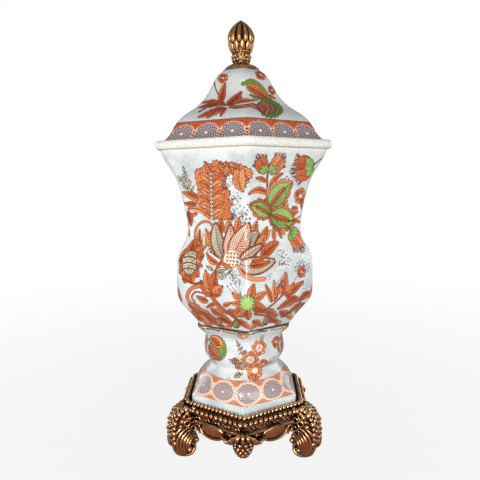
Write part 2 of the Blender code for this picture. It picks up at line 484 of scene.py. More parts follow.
def distance_to_outline(points: Array, outline: Array) -> Array:
    """Measure signed distances from a closed outline, below 0 inside.

    Args:
        points: Places, one per row.
        outline: Corners of the outline, one per row.

    Returns:
        One distance per place.
    """
    start, end = outline, np.roll(outline, -1, axis=0)
    edge = end - start
    nearest = np.sqrt((onto(points, start, edge)[1]**2).sum(-1).min(1))
    x, y = points[:, :1], points[:, 1:]
    rise = np.where(np.abs(edge[:, 1]) < 1e-9, 1e-9, edge[:, 1])
    crossed = (start[:, 1] > y) != (end[:, 1] > y)
    crossed &= x < edge[:, 0] * (y - start[:, 1]) / rise + start[:, 0]
    return np.where(crossed.sum(1) % 2 == 1, -nearest, nearest)


def place_along(points: Array, way: Array) -> tuple[Array, Array]:
    """Measure how far along a line and how far to its left some places lie.

    Args:
        points: Places, one per row.
        way: Points of the line.

    Returns:
        Distances along and across, one of each per place.
    """
    edge = np.diff(way, axis=0)
    length = np.hypot(edge[:, 0], edge[:, 1])
    share, gap = onto(points, way[:-1], edge)
    away = np.hypot(gap[..., 0], gap[..., 1])
    rows, nearest = np.arange(len(points)), away.argmin(1)
    begun = np.concatenate([[0], np.cumsum(length)[:-1]])
    along = begun[nearest] + share[rows, nearest] * length[nearest]
    side = edge[nearest, 0] * gap[rows, nearest, 1] - edge[nearest, 1] * gap[rows, nearest, 0]
    return along, np.where(side >= 0.0, 1, -1) * away[rows, nearest]


def distance_to_stroke(points: Array, way: Array, widths: Array) -> Array:
    """Measure signed distances from a stroke whose width may change along it.

    Args:
        points: Places, one per row.
        way: Points of the stroke's middle line.
        widths: Full width of the stroke at each of them.

    Returns:
        One distance per place.
    """
    share, gap = onto(points, way[:-1], np.diff(way, axis=0))
    half = 0.5 * (widths[:-1] + share * np.diff(widths))
    return (np.sqrt((gap**2).sum(-1)) - half).min(1)


def curve_through(places: Sequence[Place], closed: bool = False) -> Array:
    """Run a smooth curve through places.

    Args:
        places: Points that the curve passes.
        closed: Whether it comes back to the first one.

    Returns:
        Points of the curve, one per row.
    """
    knots = np.array(places, float)
    steps = 4 if closed else 5
    if closed:
        padded = np.concatenate([knots[-1:], knots, knots[:2]])
    else:
        padded = np.concatenate([2 * knots[:1] - knots[1:2], knots, 2 * knots[-1:] - knots[-2:-1]])
    curve = []
    for a, b, c, d in zip(padded, padded[1:], padded[2:], padded[3:]):
        for t in np.arange(steps) / steps:
            curve.append(0.5 * (2 * b + (c - a) * t + (2 * a - 5 * b + 4 * c - d) * t**2
                + (3 * b - a - 3 * c + d) * t**3))
    if not closed:
        curve.append(padded[-2])
    return np.array(curve)


def bow(start: Place, end: Place, bend: float, steps: int = 12) -> Array:
    """Draw an arc between two places that swings to the left by a bend.

    Args:
        start: Where the arc starts.
        end: Where it ends.
        bend: How far its middle swings out.
        steps: Number of its pieces.

    Returns:
        Points of the arc, one per row.
    """
    a, b = np.array(start, float), np.array(end, float)
    chord = b - a
    left = np.array([-chord[1], chord[0]]) / max(np.hypot(*chord), 1e-6)
    t = np.linspace(0, 1, steps + 1)[:, None]
    return a + chord * t + left * bend * 4.0 * t * (1.0 - t)


def polar(centre: Place, reach: float, angle: float) -> Place:
    """Give the place at a distance and an angle in degrees from a centre."""
    turn = math.radians(angle)
    return centre[0] + reach * math.cos(turn), centre[1] + reach * math.sin(turn)


def each(draw: Callable[..., None], *rows: Sequence[object], **rest: object) -> None:
    """Paint one motif for each row of its first settings; the rest are the same for all."""
    for row in rows:
        draw(*row, **rest)


class Brush:
    """Paints motifs on a shell, placed from one corner of the hexagon.

    Attributes:
        paint: The shell's layers.
        along: Each point's distance from the corner, in millimetres.
        places: That distance and how far up the faces the point lies.
    """

    def __init__(self, paint: Paint, along: Array, up: Array) -> None:
        """Take up the paint of a shell whose points lie so far along and up its faces.

        Args:
            paint: The shell's layers.
            along: Each point's distance from the corner.
            up: How far up the faces each point lies.
        """
        self.paint = paint
        self.along = along
        self.places = np.stack([along, up], -1).astype(np.float32)

    def near(self, shape: Array, margin: float) -> Array:
        """Find the points within a margin of a shape's own box."""
        low, high = shape.min(0) - margin, shape.max(0) + margin
        return np.flatnonzero(((self.places > low) & (self.places < high)).all(1))

    def area(self, outline: Array, ink: Ink, tone: float | None = None,
            grade: tuple[Place, Place, float, float] | None = None, way: Array | None = None,
            veins: float = 0.0, lift: float = 0.0) -> None:
        """Fill an outline.

        Args:
            outline: Corners of the area.
            ink: Its colour.
            tone: Its lightness.
            grade: From and to where the lightness changes, and both lightnesses.
            way: Middle line that its veins spring from.
            veins: Strength of its veins, above 0.5 with side veins.
            lift: How much lighter it is along its edge.
        """
        index = self.near(outline, MARGIN)
        if not len(index):
            return
        points = self.places[index]
        distance = distance_to_outline(points, outline)
        shade: Array | float | None = tone
        if grade:
            start, end, dark, light = grade
            across = np.subtract(end, start)
            share = np.clip((points - start) @ across / (across @ across), 0, 1)
            shade = dark + (light - dark) * share + lift * np.clip(1.0 + distance / 2.4, 0, 1)
        grain = None
        if way is not None and veins > 0.0:
            grain = np.zeros((len(index), 3), np.float32)
            inside = distance < SEEN
            along, beside = place_along(points[inside], way)
            grain[inside] = np.stack([along, beside, np.full(len(along), veins)], -1)
        self.paint.lay(self.paint.warm(ink, index, distance), index, distance, shade, grain)

    def stroke(self, way: Sequence[Place] | Array, width: float, ink: Ink = LINE,
            tone: float | None = None, end_width: float | None = None) -> None:
        """Paint a stroke along a line, which runs smoothly through single places.

        Args:
            way: Points of its middle line.
            width: Width where it starts.
            ink: Its colour.
            tone: Its lightness.
            end_width: Width where it ends, if it differs.
        """
        line = way if isinstance(way, Array) else curve_through(way)
        index = self.near(line, MARGIN + width)
        if not len(index):
            return
        widths = np.linspace(width, width if end_width is None else end_width, len(line))
        distance = distance_to_stroke(self.places[index], line, widths)
        self.paint.lay(self.paint.warm(ink, index, distance), index, distance, tone)

    def dot(self, centre: Place, across: float, ink: Ink, tone: float | None = None,
            up: float | None = None, lean: float = 0.0, veins: float = 0.0) -> None:
        """Paint an oval.

        Args:
            centre: Its middle.
            across: Half its length.
            ink: Its colour.
            tone: Its lightness.
            up: Half its width, if it isn't round.
            lean: Turn of its length from level, in degrees.
            veins: Strength of the veins along its length.
        """
        turn = np.linspace(0, math.tau, 20, endpoint=False)
        shape = np.stack([across * np.cos(turn), (up or across) * np.sin(turn)], -1)
        c, s = math.cos(math.radians(lean)), math.sin(math.radians(lean))
        shape = shape @ np.array([[c, s], [-s, c]]) + np.array(centre)
        way = np.array([polar(centre, -across, lean), polar(centre, across, lean)])
        self.area(shape, ink, tone, way=way, veins=veins)

    def leaf(self, base: Place, tip: Place, width: float, bend: float = 0.0, dark: float = 0.15,
            light: float = 0.85, teeth: int = 0, ink: Ink = ORANGE, heart: Ink | None = None,
            border: float = 2.2, core: Ink | None = None, veins: float | None = None,
            blunt: float = 0.75) -> None:
        """Paint a pointed leaf or petal with its veins.

        Args:
            base: Where it grows from.
            tip: Where it ends.
            width: Its greatest width.
            bend: How far its middle line swings to the left.
            dark: Lightness at the base.
            light: Lightness at the tip.
            teeth: Number of teeth along each edge.
            ink: Its colour.
            heart: Colour of the middle, if it differs.
            border: Width of the edge round the middle.
            core: Colour of a small leaf within the middle.
            veins: Strength of its veins; by width if it isn't given.
            blunt: Place of the widest part; less moves it to the base.
        """
        middle = bow(base, tip, bend, 14 + 5 * teeth)
        t = np.linspace(0, 1, len(middle))
        half = 0.5 * width * np.sin(math.pi * t**blunt) ** 0.85
        ahead = np.gradient(middle, axis=0)
        ahead /= np.maximum(np.hypot(ahead[:, 0], ahead[:, 1]), 1e-6)[:, None]
        left = np.stack([-ahead[:, 1], ahead[:, 0]], -1)
        jag = 1.0 + (0.3 * ((t * teeth) % 1.0) - 0.12 if teeth else 0.0)
        if veins is None:
            veins = 0.0 if width < 4.2 else 0.42 if width <= 7.0 else 1.0

        def ring(inset: float, share: float = 1.0) -> Array | None:
            """Give the leaf's outline at an inset, or nothing where none is left.

            Args:
                inset: Distance from the leaf's edge.
                share: Part of the width that it keeps.

            Returns:
                The outline, or nothing.
            """
            spread = (half * (jag if inset == 0.0 else 1.0) - inset) * share
            keep = spread > 0.15
            if keep.sum() < 4:
                return None
            out = left[keep] * spread[keep][:, None]
            return np.concatenate([middle[keep] + out, (middle[keep] - out)[::-1]])

        outer = ring(0)
        if outer is None:
            return
        self.area(outer, ink, grade=(base, tip, dark, light), way=middle, veins=veins,
            lift=0.55 if ink in WARM and heart is None else 0.0)
        inner = ring(border) if heart else None
        if inner is not None:
            self.area(inner, heart, grade=(base, tip, 0.4, 0.9), way=middle,
                veins=0.68 if heart is GREEN else veins)
        small = ring(border, 0.24) if core else None
        if small is not None:
            count = len(small) // 2
            small = np.concatenate([small[1:count * 4 // 5], small[-(count * 4 // 5):-1]])
            self.area(small, core, tone=0.6, way=middle, veins=1)

    def frond(self, spine: Array, reach: Place, pitch: float, width: float, teeth: int = 2) -> None:
        """Paint leaflets to both sides of a spine, the last one at its tip.

        Args:
            spine: The middle line, from its base.
            reach: Length of the leaflets to the left and to the right.
            pitch: Distance between leaflets.
            width: Width of a leaflet.
            teeth: Teeth on each leaflet's edge.
        """
        steps = np.hypot(*np.diff(spine, axis=0).T)
        way = np.concatenate([[0], np.cumsum(steps)])
        for spot in np.arange(pitch * 0.4, way[-1], pitch)[::-1]:
            foot, on = (np.array([np.interp(along, way, spine[:, axis]) for axis in (0, 1)])
                for along in (spot, min(spot + 1.0, way[-1])))
            ahead = (on - foot) / max(np.hypot(*(on - foot)), 1e-6)
            left = np.array([-ahead[1], ahead[0]])
            for sign, length in ((1, reach[0]), (-1, reach[1])):
                end = foot + (left * sign * 0.9 + ahead * 0.5) * length
                self.leaf(tuple(foot), tuple(end), width, -sign * length * 0.08, 0.4, 0.85, teeth,
                    veins=0.8)

    def blossom(self, centre: Place, radius: float, petals: int = 5, turn: float = 0.0, dark: float = 0.2,
            light: float = 0.9, ink: Ink = ORANGE, eye: Ink = CREAM) -> None:
        """Paint a small round flower.

        Args:
            centre: Its middle.
            radius: Distance to the petals' ends.
            petals: Number of petals.
            turn: Direction of the first one, in degrees.
            dark: Lightness of the petals at the middle.
            light: Lightness of the petals at their ends.
            ink: Colour of the petals.
            eye: Colour of the middle.
        """
        for number in range(petals):
            tip = polar(centre, radius, turn + 360.0 * number / petals)
            self.leaf(centre, tip, 1.7 * radius * math.sin(math.pi / petals), 0, dark, light, ink=ink,
                veins=0.42, blunt=1.3)
        self.dot(centre, 0.25 * radius, eye, 0.9)

    def fringe(self, centre: Place, inner: float, outer: float, count: int, start: float, step: float,
            width: float, dark: float, light: float, lean: float = 0.0) -> None:
        """Paint a row of small green leaves round a place.

        Args:
            centre: The place.
            inner: Distance from it to the leaves' bases.
            outer: Distance from it to their tips.
            count: Number of leaves.
            start: Direction of the first one, in degrees.
            step: Turn from one to the next, in degrees.
            width: Width of a leaf.
            dark: Lightness at the bases.
            light: Lightness at the tips.
            lean: How far each tip turns on from its base, in degrees.
        """
        for number in range(count):
            angle = start + step * number
            self.leaf(polar(centre, inner, angle), polar(centre, outer, angle + lean), width, 0, dark,
                light, ink=GREEN, veins=0)

    def spray(self, centre: Place, radius: float, count: int = 9, start: Place | None = None,
            ink: Ink = LILAC) -> None:
        """Scatter small flowers and seeds round a place, on thin twigs.

        Args:
            centre: Middle of the spray.
            radius: Its size.
            count: Number of flowers.
            start: Where the twigs spring from, if they show.
            ink: Colour of the flowers.
        """
        size = 1.35
        for number in range(count):
            reach = radius * math.sqrt((number + 0.5) / count)
            spot = polar(centre, reach, 137.5 * number + 40.0 * centre[0])
            if start and number % 2 == 0:
                self.stroke(bow(start, spot, 1.0 - 2.0 * (number % 4 == 0), 5), 0.95, end_width=0.75)
            if number % 3 == 2:
                self.dot(spot, 0.75 * size, LINE)
            else:
                self.dot(spot, size, ink, 0.2 + 0.3 * (number % 3), 0.75 * size, 50.0 * number)

    def twig(self, base: Place, tip: Place, leaves: int = 4, length: float = 6.0, ink: Ink = OLIVE,
            bend: float = 1.0, width: float = 2.8) -> None:
        """Paint a stem with a pair of small leaves at each step.

        Args:
            base: Where the stem starts.
            tip: Where it ends.
            leaves: Number of pairs.
            length: Length of a leaf.
            ink: Colour of the leaves.
            bend: How far the stem swings to the left.
            width: Width of a leaf.
        """
        stem = bow(base, tip, bend, 8)
        self.stroke(stem, 1.1, end_width=0.8)
        lean = math.degrees(math.atan2(tip[1] - base[1], tip[0] - base[0]))
        rows = []
        for number in range(leaves):
            foot = tuple(stem[int((number + 0.6) / leaves * 7.0)])
            rows += [(foot, polar(foot, length * (1.0 - 0.1 * number), lean + spread)) for spread in (-48,
                48)]
        rows.append((tuple(stem[-2]), polar(tip, 0.7 * length, lean)))
        each(self.leaf, *rows, width=width, ink=ink, dark=0.2, light=0.7, veins=0)

    def bud(self, base: Place, tip: Place, width: float, hairs: int = 6, light: float = 0.7) -> None:
        """Paint a thistle bud in its leafy cup.

        Args:
            base: Where the stem meets it.
            tip: Middle of its fringed end.
            width: Its greatest width.
            hairs: Half the number of spikes at the end.
            light: Lightness at the end.
        """
        a, b = np.array(base, float), np.array(tip, float)
        way = b - a
        side = np.array([-way[1], way[0]]) / np.hypot(*way)

        def spot(up: float, out: float) -> Place:
            """Give the place at a share of the bud's length and of its width."""
            place = a + way * up + side * width * out
            return float(place[0]), float(place[1])

        for number in range(2 * hairs):
            spread = number / (2 * hairs - 1) - 0.5
            self.stroke(bow(spot(0.6, spread * 0.9), spot(1.3 - 0.9 * abs(spread), spread * 1.3),
                0.5 - number % 2, 4), 1.5, ORANGE, 0.05 + 0.25 * (number % 2), 0.8)
        outline = ((0, 0), (0.1, 0.32), (0.4, 0.5), (0.75, 0.47), (0.98, 0.3), (0.9, 0.16), (1.04, 0),
            (0.9, -0.16), (0.98, -0.32), (0.75, -0.47), (0.4, -0.5), (0.1, -0.32))
        self.area(curve_through([spot(*corner) for corner in outline], closed=True), ORANGE,
            grade=(spot(0.1, 0.4), spot(0.9, -0.4), 0, light), way=np.array([spot(0, 0), spot(1, 0)]),
            veins=0.42)
        for spread in (-0.22, 0.22):
            self.stroke(bow(spot(0.3, spread), spot(0.86, spread), 1, 5), 0.8)
        for spread in (-0.34, 0.34, 0):
            self.leaf(spot(-0.06, 0), spot(0.5 - 0.3 * abs(spread), spread), width * 0.34, ink=GREEN,
                dark=0.3, light=0.8, veins=0)


# Porcelain


@dataclass
class PorcelainShell:
    """One hollow, six-sided shell of painted porcelain.

    Attributes:
        node: The solid that it stands for.
        turn: How far its front corner stands from the front, in degrees.
        spacing: Points of the cage along one side.
        levels: Times that the cage is subdivided.
        wall: Thickness of the porcelain.
        crease: Angle up to which it is shaded smooth, in degrees.
        points: Its painted points in millimetres, once it is raised.
    """

    node: str
    turn: float = 4.5
    spacing: int = 10
    levels: int = 3
    wall: float = 5.5
    crease: float = 50.0
    points: Array = field(init=False, repr=False)

    def raise_cage(self, rows: Sequence[Station]) -> Object:
        """Raise a cage of rings, each a hexagon rounded towards a circle.

        Args:
            rows: Height, corner's distance from the axis and roundness of each ring.

        Returns:
            The cage.
        """
        mean = float(np.hypot(FLAT_SHARE, np.arange(self.spacing) / self.spacing - 0.5).mean())

        def wider(reach: float, roundness: float) -> float:
            """Give the cage's corner for a finished corner, which subdivision draws in."""
            return reach * (1.0 + (1.0 - roundness) / (6.0 * self.spacing))

        height, reach, roundness = rows[0]
        size = wider(reach, 0)
        cage = first_ring(SIDES, size, height, self.turn)
        with editing(cage):
            bpy.ops.mesh.subdivide(number_cuts=self.spacing - 1)
            for next_height, next_reach, next_roundness in rows[1:]:
                share = 1.0 - next_roundness + next_roundness * mean
                wanted = wider(next_reach, next_roundness) / share
                raise_ring(next_height - height, wanted / size)
                rounder = (next_roundness - roundness) / max(1.0 - roundness, 1e-6)
                if rounder > 1e-4:
                    bpy.ops.transform.tosphere(value=min(rounder, 1))
                    roundness = next_roundness
                height, size = next_height, wanted
        return cage

    def refine(self, cage: Object) -> None:
        """Subdivide a cage to its smooth surface and note the points to be painted.

        Args:
            cage: The cage of rings.
        """
        settle(cage)
        subdivide(cage, self.levels)
        flat = np.empty(len(cage.data.vertices) * 3)
        cage.data.vertices.foreach_get("co", flat)
        self.points = flat.reshape(-1, 3) / MM

    def brushes(self, paint: Paint, profile: Profile, up: Array) -> tuple[Brush, Brush]:
        """Give the brushes placed from the nearer front corner and the nearer side corner.

        Args:
            paint: The shell's layers.
            profile: Its outline.
            up: How far up the faces each point lies.

        Returns:
            Both brushes, whose places rise to the right as seen from outside.
        """
        x, y, height = self.points.T
        angle = (np.arctan2(y, x) - FRONT - math.radians(self.turn)) % math.tau
        face = np.minimum(np.floor(angle / SIXTH), SIDES - 1)
        normal = FRONT + math.radians(self.turn) + (face + 0.5) * SIXTH
        along = y * np.cos(normal) - x * np.sin(normal)
        half = profile.at(height)[:, 0] / 2.0 * np.where(face % 2 == 0, 1, -1)
        return Brush(paint, along + half, up), Brush(paint, along - half, up)

    def build(self) -> Object:
        """Model the whole shell."""
        raise NotImplementedError

    def decorate(self) -> Paint:
        """Paint the shell's points."""
        raise NotImplementedError

    def make(self, glaze: Material) -> None:
        """Model and paint the shell and put it in the place of its solid.

        Args:
            glaze: The finish of its painted porcelain.
        """
        shell = self.build()
        shell.name = f"{self.node}_painted"
        face_outwards(shell)
        self.decorate().store(shell.data)
        dress(shell, self.node, glaze, self.crease)


@dataclass
class Urn(PorcelainShell):
    """The body: a six-sided baluster that flares to its mouth."""

    node: str = "body"
    rows: int = 23
    lining: float = 6.875
    foot_opening: float = 30.0
    foot_line: float = 157.5
    profile: Profile = Profile(((156.3, 61, 0), (166, 67.5, 0), (177, 76.2, 0.02), (187, 85.4, 0.06),
        (196, 89, 0.08), (240, 87.9, 0.08), (248.5, 82.8, 0.08), (257, 76.2, 0.06), (271, 73.6, 0.04),
        (292, 76.3, 0.02), (315, 81.9, 0), (330, 87.3, 0), (345, 97.3, 0), (354, 103.1, 0),
        (358.5, 104.3, 0)))

    def build(self) -> Object:
        """Raise the outside, then turn the wall over the mouth and down the inside.

        Returns:
            The shell.
        """
        shell = self.raise_cage([(h, r, 0) for h, r, _ in self.profile.walk(self.rows)])
        self.refine(shell)
        mouth, reach, _ = self.profile.stations[-1]
        levels = (345, 330, 310, 271, 250, 240, 197, 180, 166)
        carry_on(shell, [(mouth, reach), (mouth, reach - self.wall),
            *self.profile.inset(levels, self.lining)])
        foot, reach, _ = self.profile.stations[0]
        carry_on(shell, [(foot, reach), (foot, self.foot_opening)])
        return shell

    def decorate(self) -> Paint:
        """Paint leaves, buds and a lotus that repeat on every second corner.

        Returns:
            The shell's paint.
        """
        height = self.points[:, 2]
        paint = Paint(len(height))
        front, side = self.brushes(paint, self.profile, height)
        self.skirt(front, side)
        self.great_leaf(front)
        self.upper_right(front)
        self.three_leaves(front)
        self.swirls(front)
        self.lotus(front)
        self.belly(front, side)
        self.green_flower(front)
        paint.lay(LINE, np.arange(len(height)), height - self.foot_line)
        return paint

    def great_leaf(self, front: Brush) -> None:
        """Paint the great ragged leaf that curls over at its top.

        Args:
            front: Brush of the front corners.
        """
        spine = curve_through([(-42, 282), (-42, 310), (-41, 328), (-34, 337), (-20, 339), (-7, 334),
            (-3, 323), (-4, 314)])
        outline = [(-42, 283), (-53, 289), (-58, 298), (-64, 306), (-59, 313), (-61, 325), (-61, 337),
            (-54, 338), (-49, 342), (-43, 341), (-37, 346), (-27, 344), (-15, 343), (-4, 340), (5, 335),
            (6, 330), (0, 321), (-4, 313), (-10, 319), (-12, 327), (-14, 332), (-22, 329), (-24, 320),
            (-18, 312), (-21, 306), (-15, 301), (-20, 295), (-15, 288), (-18, 282), (-30, 284)]
        edge = curve_through(outline, closed=True)
        ahead = np.roll(edge, -1, axis=0) - np.roll(edge, 1, axis=0)
        ahead /= np.hypot(ahead[:, 0], ahead[:, 1])[:, None]
        push = np.where(np.arange(len(edge)) % 2 == 0, 1.1, -0.9)
        front.area(edge + np.stack([ahead[:, 1], -ahead[:, 0]], -1) * push[:, None], ORANGE, tone=0.75,
            way=spine, veins=1)
        front.frond(spine[:13], (17, 19), 7.6, 8, teeth=3)
        front.frond(spine[12:30], (6, 7.5), 6.5, 6)
        front.leaf((-7, 336), (-3, 313), 15, -3, 0.8, 0.6, 4, veins=1)
        for step in range(12):
            each(front.dot, ((-42, 285.0 + 4.3 * step), 2.4, CREAM, 0.35, 1.9),
                ((-42, 285.0 + 4.3 * step), 0.8, LINE))
        each(front.leaf, ((-58, 305), (-81, 313), 9, -1, 0.05, 0.4),
            ((-60, 300), (-80, 301), 7, 1, 0, 0.5), ((-48, 288), (-76, 293), 6, -4, 0.3, 0.5),
            ((-60, 290), (-74, 287), 4.5, 1, 0.2), ((-75, 292), (-70, 274), 9, 2, 0, 0.4),
            ((-77, 280), (-71, 262), 7, -1, 0, 0.4))
        each(front.twig, ((-67, 314), (-75, 337), 5, 7.5, OLIVE, 2, 3),
            ((-72, 316), (-82, 328), 3, 6, OLIVE, -1))
        each(front.spray, ((-21, 323), 7, 11, (-26, 316)), ((-12, 308), 6, 8, (-18, 304)),
            ((-10, 292), 11, 16, (-17, 284)), ((-2, 282), 8, 10, (-9, 276), OLIVE), ((4, 296), 5, 6))
        front.twig((-14, 279), (-2, 291), 3, 4.5, LILAC, 1, 2)

    def upper_right(self, front: Brush) -> None:
        """Paint the pair of buds on their leafy stem, and the large bud beside them.

        Args:
            front: Brush of the front corners.
        """
        front.stroke(((25, 335), (25, 322), (28, 306), (30, 298)), 2.3, ORANGE, 0.1)
        each(front.bud, ((22, 333), (13, 347), 16), ((28, 333), (43, 348), 16))
        each(front.leaf, ((28, 316), (47, 333), 6.5, 3, 0, 0.6),
            ((24, 323), (9, 327), 5.5, -1.5, 0.1, 0.7), ((28, 309), (0, 309), 7, -6, 0.2, 0.8))
        front.bud((86, 340), (61, 335), 27, 8, 0.6)
        front.leaf((88, 340), (74, 349), 7, 0, 0.3, 0.8, ink=GREEN, veins=0)
        front.stroke(bow((87, 341), (101, 349), 1), 2, end_width=1.4)
        front.spray((52, 324), 6, 6)
        front.stroke(((46, 325), (52, 329)), 1)

    def three_leaves(self, front: Brush) -> None:
        """Paint the large green-hearted leaf of three, and what hangs below it.

        Args:
            front: Brush of the front corners.
        """
        for base, tip, width, bend, teeth, border, blunt in (((27, 291), (61, 323), 29, 4, 5, 3.6, 0.85),
                ((32, 285), (2, 300), 22, -2, 4, 3.2, 0.9), ((28, 289), (67, 278), 31, -1, 5, 3.6, 0.9)):
            front.leaf(base, tip, width, bend, 0.5, 0.75, teeth, ORANGE, GREEN, border, ORANGE,
                blunt=blunt)
        each(front.stroke, (((37, 276), (34, 272), (27, 268)), 1.3),
            (((38, 276), (42, 271), (45, 265)), 1.3))
        each(front.leaf, ((28, 272), (24, 259), 6.5, 0, 0.4), ((35, 271), (36, 257), 6.5, 0, 0.4),
            ((42, 272), (46, 260), 6, 0, 0.2), ((46, 273), (50, 264), 5, 0, 0.2))
        front.blossom((72, 307), 10, 5, 80, 0, 0.5)
        front.leaf((73, 300), (79, 289), 6, 0, 0.1, 0.5)
        front.blossom((64, 291), 6, 5, 50, 0, 0.5, ORANGE, LILAC)
        front.stroke(((56, 279), (68, 282), (81, 289)), 1.8, end_width=1.3)
        front.leaf((63, 281), (76, 276), 4.5, 0, 0.2)
        front.bud((60, 268), (73, 249), 19)
        each(front.leaf, ((58, 268), (71, 267), 6, 2), ((59, 266), (56, 257), 6), ink=GREEN, veins=0)
        front.stroke(((60, 268), (57, 272), (51, 276)), 1.6)

    def swirls(self, front: Brush) -> None:
        """Paint the swirling petals left of the lotus.

        Args:
            front: Brush of the front corners.
        """
        front.stroke(((-59, 246), (-64, 258), (-63, 271), (-56, 279), (-46, 280), (-40, 273), (-39, 262),
            (-43, 248)), 2.6, ORANGE, 0.5)
        each(front.leaf, ((-57, 250), (-57, 273), 6.5, 2, 0.1, 0.6),
            ((-47, 252), (-51, 274), 6, -2, 0, 0.5), ((-43, 247), (-43, 268), 5.5, -1, 0.1, 0.7))
        front.leaf((-52, 250), (-53, 268), 4.2, ink=CREAM, veins=0)
        each(front.spray, ((-60, 252), 5, 6), ((-46, 252), 5, 7, None, CREAM))
        each(front.leaf, ((-66, 246), (-62, 262), 6, 0, 0, 0.5), ((-34, 237), (-50, 249), 7, 4, 0.1, 0.5))
        front.stroke(((-28, 244), (-37, 230), (-44, 220), (-46, 207), (-39, 195), (-28, 185), (-15, 175)),
            3.2, ORANGE, 0.1)
        each(front.leaf, ((-39, 227), (-21, 232), 5, 1), ((-39, 225), (-24, 222), 4.5),
            ((-41, 229), (-50, 233), 4.5), ink=OLIVE)
        front.twig((-36, 219), (-24, 226), 2, 5)

    def lotus(self, front: Brush) -> None:
        """Paint the lotus that opens to the right of the corner.

        Args:
            front: Brush of the front corners.
        """
        petals = (((-31, 266), (-29, 286), 9, 1, None, 0.2), ((-22, 264), (-20, 286), 10, 0, None, 0.1),
            ((-12, 268), (-8, 287), 8, 0, None, 0.4), ((-1, 266), (3, 282), 8, 0, None, 0.1),
            ((6, 262), (13, 283), 10, 0, None, 0.1), ((14, 257), (27, 276), 9, -1, None, 0.4),
            ((9, 252), (26, 268), 10, -1, None, 0.3), ((-31, 243), (-43, 272), 12, 4, None, 0.3),
            ((-28, 241), (-36, 283), 18, 4, OLIVE, 0.4), ((-14, 242), (18, 271), 22, 4, OLIVE, 0.7),
            ((-26, 243), (-19, 281), 16, -3, PINK, 0.3), ((-21, 243), (3, 283), 23, -3, PINK, 0.8),
            ((-10, 241), (24, 258), 11, 1, CREAM, 0.6), ((16, 243), (43, 257), 12.5, 2, None, 0.3),
            ((-12, 239), (39, 240), 20, -4, CREAM, 0.7))
        for base, tip, width, bend, heart, dark in petals:
            front.leaf(base, tip, width, bend, dark, min(dark + 0.5, 1), heart=heart, border=1.5, veins=1)
        front.leaf((0, 237), (31, 239), 7, -1.5, 0, 0.5, veins=1)
        front.leaf((4, 241), (24, 244), 4.4, -1, 0.2, 0.6)
        front.stroke(((-11, 236), (-5, 227), (6, 222), (20, 220.5)), 2.6, ORANGE, 0.95, 4.6)
        front.dot((5, 266), 5, OLIVE, 0.2, 4.4)
        for place in ((3, 266), (6, 268), (7, 264), (4, 263)):
            front.dot(place, 0.9, LINE)
        front.area(curve_through([(-29, 238), (-26, 248), (-17, 252), (-10, 247), (-12, 237), (-20, 233)],
            closed=True), CREAM, tone=0.85)
        for row in range(4):
            for seed in range(4):
                front.dot((-25.0 + 3.9 * seed + 0.8 * row, 236.5 + 3.8 * row), 0.8, LILAC, 0.5)
        front.leaf((-33, 238), (-16, 232), 4, 0, 0.1, 0.4, veins=0)
        each(front.spray, ((50, 237), 8, 12, (40, 234)), ((44, 246), 5, 6),
            ((-14, 222), 8, 12, (-22, 230)))

    def belly(self, front: Brush, side: Brush) -> None:
        """Paint the flower beside the side corner and the ragged leaf near it.

        Args:
            front: Brush of the front corners.
            side: Brush of the side corners.
        """
        tips = ((4, 249), (9, 260), (20, 259), (29, 253), (34, 244), (33, 233), (29, 220), (20, 211),
            (10, 211), (3, 221), (1, 236))
        for number in (0, 2, 4, 6, 8, 10, 1, 3, 5, 7, 9):
            side.leaf((15, 235), tips[number], 13, 0, 0, 0.7 if number % 2 else 0.3, 3, blunt=1.2)
        side.dot((16, 235), 9.5, OLIVE, 0.1, 14)
        for row in range(8):
            level = 224.0 + 3.2 * row
            side.stroke(bow((8.5, level), (23.5, level), 1.8, 5), 1.1, ORANGE if row % 2 else LINE, 0.8)
        each(front.leaf, ((-44, 200), (-58, 217), 12, 1, 0, 0.6, 4),
            ((-45, 202), (-51, 229), 13, 0, 0.1, 0.6, 5), ((-44, 203), (-38, 225), 12, 0, 0.1, 0.6, 5),
            ((-43, 201), (-29, 213), 11, 0, 0, 0.6, 4), ((-44, 202), (-31, 203), 7, 0, 0, 0.4))
        front.stroke(((-58, 214), (-68, 212), (-80, 216)), 1.8, ORANGE, 0.1)
        front.spray((-59, 232), 5, 7)
        for number, start in enumerate(((66, 228), (80, 226), (73, 232))):
            front.spray(start, 5, 7, start=(72, 224 + number))
        front.blossom((72, 222), 7, 6, 10, 0, 0.5)
        front.stroke(bow((62, 214), (72, 221), 1), 1.2)

